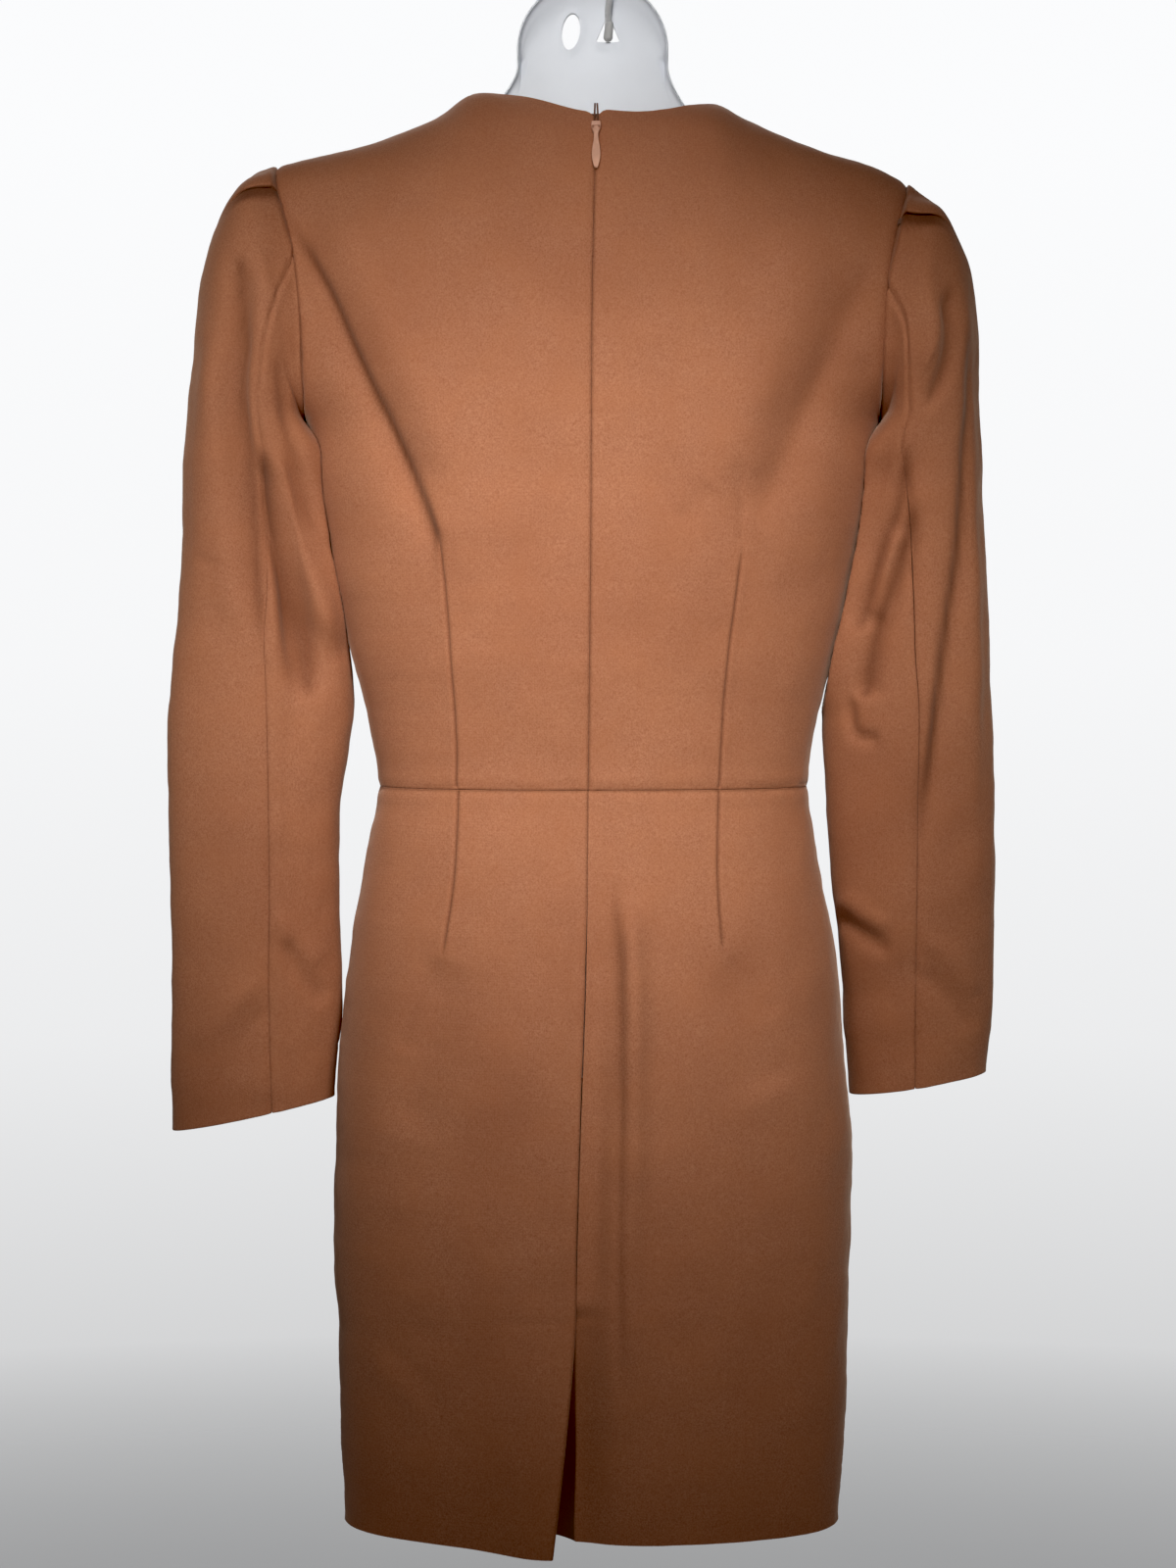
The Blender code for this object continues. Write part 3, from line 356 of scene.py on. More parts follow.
def relief(creases, x, z):
    """Heights of the soft creases and of the narrow grooves at these places, and the painted shade in their
    hollows.
    """
    soft, narrow, dark = np.zeros(np.shape(x)), np.zeros(np.shape(x)), np.zeros(np.shape(x))
    for kind, wide, height, points in creases:
        line = smooth_line(points)
        reach = CREASE_REACH.get(kind, 3 * wide)
        low, high = line.min(0) - reach, line.max(0) + reach
        inside = (x > low[0]) & (x < high[0]) & (z > low[1]) & (z < high[1])
        if not inside.any():
            continue
        nearest, along, side = beside_line(line, x[inside], z[inside])
        from_end = np.minimum(along, 1 - along)
        fade = ease(from_end * 5 + 0.02)
        if kind == "groove":
            fade = ease((1 - along) * 6 + 0.05) * (nearest < reach)
            puff = GROOVE_PUFF[0] * bump(nearest - GROOVE_PUFF[1], GROOVE_PUFF[2])
            narrow[inside] += height * fade * (np.exp(-((nearest / wide) ** 1.5)) - puff)
            shade = GROOVE_PAINTED_SHADE * fade * bump(nearest, wide)
        elif kind == "fold":
            signed = nearest * side
            sharp = FOLD_SHARP[0] + FOLD_SHARP[1] * (1 - ease(from_end * 4.5))
            step_up = 0.5 + 0.5 * np.tanh(signed / sharp)
            low_side = (1 - step_up) * bump(signed, wide)
            soft[inside] += height * fade * (step_up * bump(signed, FOLD_BACK) - FOLD_LOW * low_side)
            shade = FOLD_PAINTED_SHADE * fade * bump(signed + FOLD_SHADE[0], FOLD_SHADE[1])
        else:
            starts, gain, share = TROUGH_PAINTED_SHADE
            soft[inside] += height * fade * bump(nearest, wide)
            shade = np.clip((-height - starts) * gain, 0, FOLD_PAINTED_SHADE) * ease(from_end * 9)
            shade = shade * bump(nearest, share * wide)
        # painted shade where the creases' hollows would lie in shadow
        dark[inside] = np.maximum(dark[inside], shade)
    return soft, narrow, dark


# ---------------------------------------------------------------- the body's surface


def half_width(z):
    return curve_through(z, BODY_LEVELS, 1)


def depth(z, back):
    return curve_through(z, BODY_LEVELS, 2 if back else 3)


def ridge(x_sign, x):
    return curve_through(x, RIDGE, 1 if x_sign > 0 else 2)


def centre_back(z):
    return curve_through(z, CENTRE_BACK, 1)


def armhole_x(z):
    return curve_through(z, ARMHOLE, 1)


def panel_edge(z):
    """Distance of the bodice panel's side edge from the middle: the side seam, then the armhole."""
    return np.where(z <= UNDERARM, half_width(z), np.minimum(armhole_x(z), half_width(z)))


def column_table():
    """x for heights and columns, the columns evenly spaced along the cloth from the middle to the edge."""
    heights = np.linspace(-0.600, -0.130, 941)
    columns = np.linspace(0, 1, 401)
    turn = np.linspace(0, math.pi / 2, 240)
    fine = panel_edge(heights)[:, None] * np.sin(turn) ** (2 / SECTION)
    wide, deep = half_width(heights)[:, None], depth(heights, True)[:, None]
    y = deep * (1 - np.minimum(fine / wide, 1.0) ** SECTION) ** (1 / SECTION)
    run = np.cumsum(np.hypot(np.diff(fine, axis=1), np.diff(y, axis=1)), 1)
    run = np.concatenate([np.zeros((len(heights), 1)), run], 1)
    total = run[:, -1]
    soft = np.exp(-np.linspace(-2.2, 2.2, 121) ** 2)
    calm = np.convolve(np.pad(total, 60, mode="edge"), soft / soft.sum(), mode="valid")
    at = columns * calm[:, None] + (total - calm)[:, None] * ease((columns - 0.60) / 0.40)
    return heights, columns, np.array([np.interp(a, r, f) for a, r, f in zip(at, run, fine)])


COLUMN_TABLE = []


def column_x(z, column):
    if not COLUMN_TABLE:
        COLUMN_TABLE.extend(column_table())
    heights, columns, table = COLUMN_TABLE
    at = np.clip((z - heights[0]) / (heights[1] - heights[0]), 0, len(heights) - 1.001)
    over = np.clip(np.asarray(column, float), 0, 1) * (len(columns) - 1.001)
    i, j = at.astype(int), over.astype(int)
    u, v = at - i, over - j
    low = table[i, j] * (1 - v) + table[i, j + 1] * v
    high = table[i + 1, j] * (1 - v) + table[i + 1, j + 1] * v
    return low * (1 - u) + high * u


def back_folds(x, z):
    total = np.zeros(np.shape(x))
    for *places, reach, height in BACK_FOLDS:
        start, middle, end = np.array(places).reshape(3, 2)
        control = 2 * middle - (start + end) / 2
        t = np.linspace(0, 1, 33)[:, None]
        path = (1 - t) ** 2 * start + 2 * t * (1 - t) * control + t * t * end
        nearest, along, _ = beside_line(path, x, z)
        total += height * bump(nearest, reach) * ease(np.minimum(along, 1 - along) * FOLD_TAPER + 0.15)
    return total


def neck_height(x_sign, x, back):
    if back:
        return curve_through(x, BACK_NECK, 1 if x_sign > 0 else 2) - NECK_NOTCH * bump(x, 0.004)
    share = np.minimum(x / NECK_HALF, 1.0)
    round_it = 1 - (1 - share**NECK_ROUND) ** (1 / NECK_ROUND)
    return NECK_FRONT + (ridge(x_sign, NECK_HALF) - NECK_FRONT) * round_it


def bodice_xz(x_sign, column, rise, high):
    x = column * armhole_x(UNDERARM)
    for _ in range(12):
        start = ridge(x_sign, x) - CLOSING_HEIGHT
        over = start + CLOSING_HEIGHT * np.sin(np.clip(rise, 0, np.pi / 2)) ** (2 / CLOSING)
        z = np.where(high, over, WAIST + (start - WAIST) * rise)
        x = column_x(z, column)
    return x, z


def top_rise(x_sign, back):
    """A table of columns and the angles at which the panel's top edge cuts the shoulder's rounding."""
    column = np.linspace(0, 1, 900)
    low, high = np.zeros(900), np.full(900, np.pi / 2)
    x, _ = bodice_xz(x_sign, column, high, True)
    whole = x >= NECK_HALF
    for _ in range(30):
        middle = (low + high) / 2
        x, z = bodice_xz(x_sign, column, middle, True)
        below = z < neck_height(x_sign, x, back)
        low, high = np.where(below, middle, low), np.where(below, high, middle)
    return column, np.where(whole, np.pi / 2, low)


def body_depth(x_sign, x, z, closing, back):
    deep = (1 - np.minimum(x / half_width(z), 1.0) ** SECTION) ** (1 / SECTION) * closing
    y = depth(z, back) * deep
    if back:
        y = y + back_folds(x * x_sign, z) * np.minimum(deep * 1.6, 1.0)
    return y


def shoulder_closing(x_sign, x, z):
    high = np.clip(1 - (ridge(x_sign, x) - z) / CLOSING_HEIGHT, 0.0, 1.0)
    return (1 - high**CLOSING) ** (1 / CLOSING)


def warped(columns, marks, targets):
    """Columns for each row, stretched so that the marks among them lie at each row's targets."""
    known = np.concatenate([[0.0], marks, [1.0]])
    rows = []
    for target in np.transpose(targets):
        rows.append(np.interp(columns, known, np.concatenate([[0.0], target, [1.0]])))
    return np.array(rows)


def bodice_panel(x_sign, back, columns, rows, dart=None, mark=None):
    """Points of one half of the bodice. The column at the mark is made to follow the dart."""
    table = top_rise(x_sign, back)

    def place(column, row):
        high = row > LOW_SHARE
        share = 1 - (1 - np.clip((row - LOW_SHARE) / (1 - LOW_SHARE), 0, 1)) ** CROWDING
        rise = np.where(high, share * np.interp(column, *table), row / LOW_SHARE)
        x, z = bodice_xz(x_sign, column, rise, high)
        closing = np.where(high, np.maximum(np.cos(np.where(high, rise, 0.0)), 0.0) ** (2 / CLOSING), 1.0)
        return x, z, closing

    grid_row = np.repeat(rows[:, None], len(columns), 1)
    if dart is None:
        column = np.repeat(columns[None, :], len(rows), 0)
    else:
        scan = np.repeat(np.linspace(0, 1, 240)[None, :], len(rows), 0)
        x, z, _ = place(scan, np.repeat(rows[:, None], 240, 1))
        line = smooth_line(dart)[::1 if dart[0][1] < dart[-1][1] else -1]
        wanted = np.abs(np.interp(z, line[:, 1], line[:, 0]))
        wanted -= x_sign * centre_back(z) * (1 - scan) ** 2
        target = [np.interp(0.0, gap, at) for gap, at in zip(x - wanted, scan)]
        column = warped(columns, np.array([mark]), np.array([target]))
    x, z, closing = place(column, grid_row)
    y = off_seam(body_depth(x_sign, x, z, closing, back))
    x = np.where(z > UNDERARM, armhole_x(z) - off_seam(np.maximum(armhole_x(z) - x, 0.0)), x)
    z = WAIST + off_seam(z - WAIST)
    if not back:
        return np.stack([x_sign * x, -y, z], -1)
    x = off_seam(x)
    return np.stack([x_sign * x + centre_back(z) * (1 - column) ** 2, y, z], -1)


def skirt_x(z, column):
    return half_width(z) * np.sin(column * np.pi / 2) ** (2 / SECTION)


def skirt_panel(x_sign, back, columns, heights, dart=None, mark=None):
    z = np.repeat(heights[:, None], len(columns), 1)
    column = np.repeat(columns[None, :], len(heights), 0)
    if dart is not None:
        line = smooth_line(dart)[::-1]
        wanted = np.abs(np.interp(heights, line[:, 1], line[:, 0]))
        scan = np.linspace(0, 1, 400)
        target = []
        for height, goal in zip(heights, wanted):
            x = skirt_x(height, scan) + x_sign * centre_back(height) * (1 - scan) ** 2
            target.append(np.interp(goal, x, scan))
        column = warped(columns, np.array([mark]), np.array([target]))
    x = skirt_x(z, column)
    y = off_seam(body_depth(x_sign, x, z, 1.0, back))
    hung_z = WAIST - off_seam(WAIST - z)
    if not back:
        return np.stack([x_sign * x, -y, hung_z], -1)
    below = np.maximum((VENT_TOP - z) / (VENT_TOP - HEM), 0.0)
    x = off_seam(x)
    if x_sign > 0:
        y = y + VENT_FLARE * below**VENT_OPENING * bump(x, VENT_FLARE_REACH)
        x = x + VENT_SHIFT * below**VENT_OPENING * bump(x, VENT_SHIFT_REACH)
    else:
        over, height = UNDERLAP_SINK_RISE
        y = y - UNDERLAP_SINK * ease((VENT_TOP + over - z) / height) * bump(x, UNDERLAP_SINK_REACH)
        y = y - RIGHT_CURL * below**1.5 * bump(x, RIGHT_CURL_REACH)
    return np.stack([x_sign * x + centre_back(z) * (1 - column) ** 2, y, hung_z], -1)


def underlap_panel(shares, heights):
    fold = skirt_panel(-1, True, np.array([0.0]), heights)[:, 0]
    below = np.maximum((VENT_TOP - heights) / (VENT_TOP - HEM), 0.0)
    points = []
    for share in shares:
        turn = math.radians(UNDERLAP_TURN) * ease(below * 0.9) * (1 - 0.35 * share)
        reach = UNDERLAP * share
        x = fold[:, 0] + reach * np.cos(turn)
        points.append(np.stack([x, fold[:, 1] - reach * np.sin(turn), fold[:, 2]], -1))
    return np.stack(points, 1)


# ---------------------------------------------------------------- the sleeves' surface


def armhole_loop(x_sign, degrees):
    top, bottom = ridge(x_sign, SHOULDER_HALF), UNDERARM
    z = (top + bottom) / 2 + (top - bottom) / 2 * np.cos(np.radians(degrees))
    x = armhole_x(z)
    closing = shoulder_closing(x_sign, x, z)
    back = np.sin(np.radians(degrees)) >= 0
    y = np.where(back, body_depth(x_sign, x, z, closing, True), -body_depth(x_sign, x, z, closing, False))
    return np.stack([x + SLEEVE_OUT, y, z], -1)


def ring_point(table, share, degrees):
    rows = [(i / (len(table) - 1), *row) for i, row in enumerate(table)]
    outer_x, outer_z, inner_x, inner_z, half_depth, middle = (
        curve_through(share, rows, column) for column in range(1, 7)
    )
    along, aside = np.cos(np.radians(degrees)), np.sin(np.radians(degrees))
    return np.stack(
        [
            (outer_x + inner_x) / 2 + (outer_x - inner_x) / 2 * along,
            middle + half_depth * aside,
            (outer_z + inner_z) / 2 + (outer_z - inner_z) / 2 * along,
        ],
        -1,
    )


# A pleat's section: flat distance past its edge, where the cloth goes, and its share of the pleat's height
PLEAT_SECTION = (
    (0.0000, 0.0000, 1.00),
    (0.0006, 0.0007, 0.95),
    (0.0012, 0.0010, 0.87),
    (0.0018, 0.0007, 0.79),
    (0.0026, -0.0004, 0.73),
    (0.0036, -0.0030, 0.69),
    (0.0046, -0.0060, 0.65),
    (0.0052, -0.0068, 0.60),
    (0.0060, -0.0060, 0.53),
    (0.0072, -0.0030, 0.50),
    (0.0092, 0.0035, 0.48),
    (0.0125, 0.0125, 0.45),
)
PLEAT_FRONT = 0.034  # how far past its section a pleat's lip sinks back into the sleeve
PLEAT_SWING = 0.75  # how much of its turn round the sleeve a pleat's edge loses on its way down
PLEAT_SWING_REACH = 0.30  # share of the sleeve's length where it has lost it
# the darkest painted shade in the slit under a pleat's edge
PLEAT_PAINTED_SHADE = 0.80
PLEAT_SLIT = (0.0004, 0.0112)  # where the slit under a pleat's edge, with its painted shade, starts and ends, past that edge


def pleat_edge(edge, share):
    """Where a pleat's edge lies down the sleeve: it swings towards the outer line away from the armhole."""
    return edge * (1 - PLEAT_SWING * ease(share / PLEAT_SWING_REACH))


def pleated(pleats, degrees, share, girth):
    """Where a pleat's fold carries the cloth: degrees, and height over the sleeve."""
    flat = [row[0] for row in PLEAT_SECTION]
    raised = np.zeros(np.shape(degrees))
    for edge, height, dies_out in pleats:
        turn = math.copysign(1, edge)
        away = (degrees - pleat_edge(edge, share)) * turn
        past = away / 360 * girth
        tall = height * ease(1 - share / dies_out)
        folded = ease(1.35 - share / (0.65 * dies_out))
        lip = np.interp(past, flat, [row[2] for row in PLEAT_SECTION])
        lip = lip * ease(1 - (past - flat[-1]) / PLEAT_FRONT)
        raised += tall * np.where(away <= 0, ease(1 + away / PLEAT_BACK), lip)
        inside = (past > 0) & (past < flat[-1])
        moved = np.where(inside, np.interp(past, flat, [row[1] for row in PLEAT_SECTION]) - past, 0.0)
        degrees = degrees + moved * folded / girth * 360 * turn
    return degrees, raised


def pleat_shade(pleats, degrees, share, girth):
    """The painted shade in the slit under each pleat's edge."""
    total = np.zeros(np.shape(degrees))
    for edge, _, dies_out in pleats:
        past = (degrees - pleat_edge(edge, share)) * math.copysign(1, edge) / 360 * girth
        inside = ease((past - PLEAT_SLIT[0]) / 0.0006) * ease((PLEAT_SLIT[1] - past) / 0.0022)
        total = np.maximum(total, PLEAT_PAINTED_SHADE * inside * ease((0.85 * dies_out - share) / 0.12))
    return total


def sleeve_folds(folds, degrees, share):
    total = np.zeros(np.shape(degrees))
    for at, start, end, reach, height in folds:
        inside = ease((share - start) / 0.12) * ease((end - share) / 0.16)
        total += height * inside * bump(degrees - at, reach)
    return total


PRESS = 0.016  # how far the sleeve spreads towards the body
PRESS_TOP = (-0.343, 0.034)  # where that starts, below the armhole, and how far down it grows
PRESS_FOOT = {1: -0.505, -1: -0.550}  # where it ends on each side
PRESS_FADE = 0.050
PRESS_MIDDLE = 158  # degrees round the sleeve
PRESS_REACH = 52
PRESS_CLEAR = 0.0017  # the least gap to the body


def pressed(x_sign, points, degrees):
    """The sleeve's inner side, spread towards the body it hangs against but kept clear of it."""
    x, y, z = points[..., 0], points[..., 1], points[..., 2]
    deep = np.where(y > 0, depth(z, True), depth(z, False))
    wall_x = half_width(z) * (1 - np.minimum(np.abs(y) / deep, 1.0) ** SECTION) ** (1 / SECTION)
    reach = ease((PRESS_TOP[0] - z) / PRESS_TOP[1]) * ease((z - PRESS_FOOT[x_sign]) / PRESS_FADE)
    push = PRESS * reach * bump(degrees % 360 - PRESS_MIDDLE, PRESS_REACH)
    moved = points.copy()
    moved[..., 0] = np.minimum(x, np.maximum(x - push, wall_x + PRESS_CLEAR))
    return moved


def wrap(degrees):
    return (degrees + 180) % 360 - 180


def sleeve_panel(x_sign, table, pleats, folds, degrees, share):
    """Points of a sleeve with its pleats, and the same without them."""
    outward = unit(ring_point(table, share, degrees) - ring_point(table, share, degrees + 180))
    back, front = (ring_point(table, share, turn + 0 * share) for turn in (90, 270))
    girth = np.linalg.norm(back - front, axis=-1) * math.pi
    fade = np.maximum(1 - share / CAP_SHARE, 0.0)[..., None] ** 2
    start = ease(share / 0.02 + 0.25)

    def along(turned):
        point = ring_point(table, share, turned)
        return point + (armhole_loop(x_sign, wrap(turned)) - ring_point(table, 0.0 * share, turned)) * fade

    wrapped = wrap(degrees)
    lifted = sleeve_folds(folds, wrapped, share) * start
    plain = along(degrees) + outward * lifted[..., None]
    turned, raised = pleated(pleats, wrapped, share, girth) if pleats else (wrapped, 0 * share)
    turned = degrees + (turned - wrapped)
    full = along(turned) + outward * (lifted + raised * start)[..., None]
    full, plain = (pressed(x_sign, points, degrees) for points in (full, plain))
    mirror = np.array([x_sign, 1, 1])
    return full * mirror, plain * mirror


def seam_at(seam, share):
    return seam[0] + (seam[1] - seam[0]) * ease(share / SEAM_TURN)


def back_seam_degrees(x_sign, table, line, shares):
    """How far round the sleeve its back seam lies at each share of its length, along a line in x and z."""
    line = smooth_line(line, 60)[::-1]
    scan = np.linspace(50, 150, 201)
    found = []
    for share in shares:
        fade = max(1 - share / CAP_SHARE, 0.0) ** 2
        point = ring_point(table, share, scan)
        point = point + (armhole_loop(x_sign, scan) - ring_point(table, 0.0, scan)) * fade
        gap = point[:, 0] - np.interp(point[:, 2], line[:, 1], line[:, 0])
        found.append(float(np.interp(0.0, gap[::-1], scan[::-1])))
    found = np.array(found)
    soft = np.exp(-np.linspace(-2, 2, 9) ** 2)
    padded = np.pad(found, 4, mode="edge")
    return np.convolve(padded, soft / soft.sum(), mode="valid")


# ---------------------------------------------------------------- cloth walls


def facing(points):
    """Unit normals of a grid of points."""
    return unit(np.cross(np.gradient(points, axis=1), np.gradient(points, axis=0)))


# The section of a wall's edge, ring by ring. A plain edge is round: shares of the half thickness out and up.
EDGE_OUT = (0.50, 0.87, 1.00, 0.87, 0.50)
EDGE_UP = (0.87, 0.50, 0.00, -0.50, -0.87)
# A sewn edge turns in: shares of the half thickness out, metres up, and whether that ring is at the bottom
TURNED_OUT = (0.50, 0.95, 1.00, -0.30, -0.70)
TURNED_UP = (0.00062, 0.00020, 0.0, 0.0, -0.0011)
TURNED_DEEP = (False, False, True, True, False)


def wall(name, outer, inner, out_sign, looks, missing=None, lined=None, turned=None, painted_shade_level=None):
    """A closed cloth wall between two grids of points, with rounded edges all round.

    lined marks the cells whose inner face shows the lining; turned gives the depth of the turned-in
    allowance at each place of the grid, or 0 where the edge is plain.
    """
    m, n, _ = outer.shape
    ids = np.arange(m * n).reshape(m, n)
    quads = np.stack([ids[:-1, :-1], ids[:-1, 1:], ids[1:, 1:], ids[1:, :-1]], -1)
    kept = np.ones((m - 1, n - 1), bool) if missing is None else ~missing
    quads = quads[kept]
    if out_sign < 0:
        quads = quads[:, ::-1]
    face_lined = np.zeros(len(quads), int) if lined is None else lined[kept].astype(int)
    top, low = outer.reshape(-1, 3), inner.reshape(-1, 3)

    ends = np.stack([quads, np.roll(quads, -1, axis=1)], -1)
    centres = top[quads].mean(1)
    flat_ends = ends.reshape(-1, 2)
    owner = np.repeat(np.arange(len(quads)), 4)
    _, index, count = np.unique(np.sort(flat_ends, 1), axis=0, return_inverse=True, return_counts=True)
    border = count[index.reshape(-1)] == 1
    edges, owner = flat_ends[border], owner[border]

    used = np.unique(quads)
    at_border = np.unique(edges)
    slot_of = np.full(m * n, -1)
    slot_of[at_border] = np.arange(len(at_border))
    direction = unit(top[edges[:, 1]] - top[edges[:, 0]])
    away = (top[edges[:, 0]] + top[edges[:, 1]]) / 2 - centres[owner]
    away = unit(away - direction * (away * direction).sum(1, keepdims=True))
    outward = np.zeros((len(at_border), 3))
    np.add.at(outward, slot_of[edges[:, 0]], away)
    np.add.at(outward, slot_of[edges[:, 1]], away)
    outward = unit(outward)

    half = (top[at_border] - low[at_border]) / 2
    middle = (top[at_border] + low[at_border]) / 2
    radius = CLOTH / 2
    deep = np.zeros(len(at_border)) if turned is None else turned.reshape(-1)[at_border]
    upward = unit(half)
    rings = []
    for k, (out_share, turn_cos) in enumerate(zip(EDGE_OUT, EDGE_UP)):
        plain = middle + half * turn_cos + outward * radius * out_share
        lip_out, lip_up = TURNED_OUT[k], np.where(np.array(TURNED_DEEP[k]), -deep, TURNED_UP[k])[:, None]
        lip = middle + upward * lip_up + outward * radius * lip_out
        rings.append(np.where(deep[:, None] > 0, lip, plain))

    order = np.full(m * n, -1)
    order[used] = np.arange(len(used))
    base = len(used)
    points = np.concatenate([top[used], low[used], *rings])
    levels = [order[edges]] + [2 * base + k * len(at_border) + slot_of[edges] for k in range(len(rings))]
    levels.append(base + order[edges])
    faces = [order[quads], base + order[quads][:, ::-1]]
    kinds = [np.zeros(len(quads), int), face_lined]
    for first, second in zip(levels, levels[1:]):
        faces.append(np.stack([first[:, 1], first[:, 0], second[:, 0], second[:, 1]], -1))
        kinds.append(np.zeros(len(first), int))
    faces, kinds = np.concatenate(faces), np.concatenate(kinds)

    lengths_across = np.linalg.norm(np.diff(outer, axis=1), axis=-1)
    lengths_down = np.linalg.norm(np.diff(outer, axis=0), axis=-1)
    across = np.concatenate([np.zeros((m, 1)), np.cumsum(lengths_across, 1)], 1)
    down = np.concatenate([np.zeros((1, n)), np.cumsum(lengths_down, 0)], 0)
    grain = np.stack([across, down], -1).reshape(-1, 2)
    grain = np.concatenate([grain[used], grain[used], *[grain[at_border]] * len(rings)])

    mesh = bpy.data.meshes.new(name)
    mesh.from_pydata(points.tolist(), [], faces.tolist())
    layer = mesh.uv_layers.new(name="grain")
    corners = np.empty(len(mesh.loops), np.int32)
    mesh.loops.foreach_get("vertex_index", corners)
    layer.data.foreach_set("uv", grain[corners].astype(np.float32).ravel())
    # painted shade, stored in the mesh attribute named pressed
    if painted_shade_level is not None:
        level = painted_shade_level.reshape(-1)
        level = np.concatenate([level[used], 0 * level[used], *[level[at_border]] * len(rings)])
        mesh.attributes.new("pressed", "FLOAT", "POINT").data.foreach_set("value", level.astype(np.float32))
    for look in looks:
        mesh.materials.append(look)
    mesh.polygons.foreach_set("material_index", kinds.astype(np.int32))
    mesh.shade_smooth()
    mesh.update()
    return placed(name, mesh)


# ---------------------------------------------------------------- the dress's panels

CELL = 0.0026
PLAIN_CELL = 1.7 * CELL


def edge_distance(points, axis, from_end):
    """Distance along the cloth from one edge of the grid."""
    run = np.linalg.norm(np.diff(points, axis=axis), axis=-1)
    if from_end:
        run = np.flip(run, axis)
    total = np.cumsum(run, axis=axis)
    total = np.concatenate([np.zeros_like(np.take(total, [0], axis)), total], axis=axis)
    return np.flip(total, axis) if from_end else total


STITCH_PULL = (0.45, 0.016)  # how unevenly the stitches draw the cloth in, and about how far apart
SEAM_DIP = (0.00055, 0.0022)  # depth and half width of the hollow at a seam
SEAM_PUFF = (0.00030, 0.0065, 0.0035)  # height, distance and half width of the swelling beside it
HEM_EDGE = (0.00025, 0.004)
HEM_STITCH = (0.00022, 0.036, 0.0016)  # depth, height above the edge and half width of the hem's stitching
CLOTH_WAVES = ((0.00080, 0.120), (0.00030, 0.040), (0.00010, 0.014))  # height and length of the cloth's waves


def sewn_dip(points, sides):
    """The hollow beside sewn edges, a little uneven where the stitches draw the cloth in."""
    total = np.zeros(points.shape[:2])
    for axis, from_end in sides:
        away = edge_distance(points, axis, from_end)
        uneven, apart = STITCH_PULL
        drawn = 1 + uneven * ripples(77, points[..., 0] * 1.2 + points[..., 1], points[..., 2], apart)
        total -= SEAM_DIP[0] * bump(away, SEAM_DIP[1]) * drawn
        total += SEAM_PUFF[0] * bump(away - SEAM_PUFF[1], SEAM_PUFF[2]) * (1 + 0.6 * drawn)
    return total


# A sewn side: the grid's axis, whether it is that axis's far end, and how deep the allowance turns in
DEEP, BY_ZIP = 0.0030, 0.0014
FIRST_ROW = (0, False, DEEP)
START, FINISH, ZIP_SIDE = (1, False, DEEP), (1, True, DEEP), (1, False, BY_ZIP)


def turned_in(points, sides):
    """How deep the allowance is turned in along each sewn side, away from the corners."""
    deep = np.zeros(points.shape[:2])
    for axis, from_end, amount in sides:
        edge = [slice(None), slice(None)]
        edge[axis] = -1 if from_end else 0
        deep[tuple(edge)] = amount
    return deep


SEAM_SHADE = 0.0007  # how far from a seam the painted shade of its hollow reaches
SLEEVE_RELIEF = 1.45  # the sleeves' creases, which the armholes draw up


def panel(name, node, base, core, creases, sewn, seed=11, plain=None, missing=None, lined=None, weight=None,
          hem=None, seam_painted_shade=0.38, shade=None):
    """One piece of cloth over base, a grid of places; core gives points on the side that faces in.

    plain is the surface that the inner face follows where that isn't base. With a weight, the creases show
    only where the cloth faces back. shade is painted shade, given before that of the creases and seams is
    added.
    """
    out = facing(base)
    if (out * (base - core)).sum() < 0:
        out, sign = -out, -1
    else:
        sign = 1
    x, z = base[..., 0], base[..., 2]
    soft, narrow, dark = relief(creases, x, z)
    if weight is not None:
        part = np.clip(out[..., 1] * weight * 2.2, 0, 1)
        soft, narrow, dark = soft * part, narrow * part, dark * part
        soft = soft * SLEEVE_RELIEF
    depth_way = base[..., 1] * 0.8
    for i, (height, wave) in enumerate(CLOTH_WAVES):
        soft = soft + height * ripples(seed + i, x + depth_way, z, wave)
    narrow = narrow + sewn_dip(base, [side[:2] for side in sewn])
    if hem is not None:
        away = edge_distance(base, *hem)
        narrow = narrow + HEM_EDGE[0] * bump(away, HEM_EDGE[1])
        sunk, up, wide = HEM_STITCH
        narrow -= sunk * bump(away - up, wide) * (1 + 0.5 * ripples(5, x, z, 0.02))
    outer = base + out * (soft + narrow)[..., None]
    under = base if plain is None else plain
    inner = under + out * (soft - CLOTH)[..., None]
    # painted shade along each sewn seam, where its hollow would lie in shadow
    for axis, from_end, _ in sewn:
        away = edge_distance(base, axis, from_end)
        dark = np.maximum(dark, seam_painted_shade * np.exp(-((away / SEAM_SHADE) ** 2)))
    # painted shade given by the caller, as in a pleat's slit and on the vent's underlap
    if shade is not None:
        dark = np.maximum(dark, shade)
    made = wall(name, outer, inner, sign, (WOOL, LINING), missing, lined, turned_in(base, sewn), dark)
    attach(made, "dress")
    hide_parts(node)
    return made


def axis_of(points):
    """The body's own middle line at each point's height."""
    core = np.zeros_like(points)
    core[..., 2] = points[..., 2]
    return core


def lined_cells(points, low, high):
    """Cells whose inner face shows the lining: those away from the facings at the first and last rows."""
    from_low = edge_distance(points, 0, False)[:-1, :-1]
    from_high = edge_distance(points, 0, True)[:-1, :-1]
    return (from_low > low) & (from_high > high)


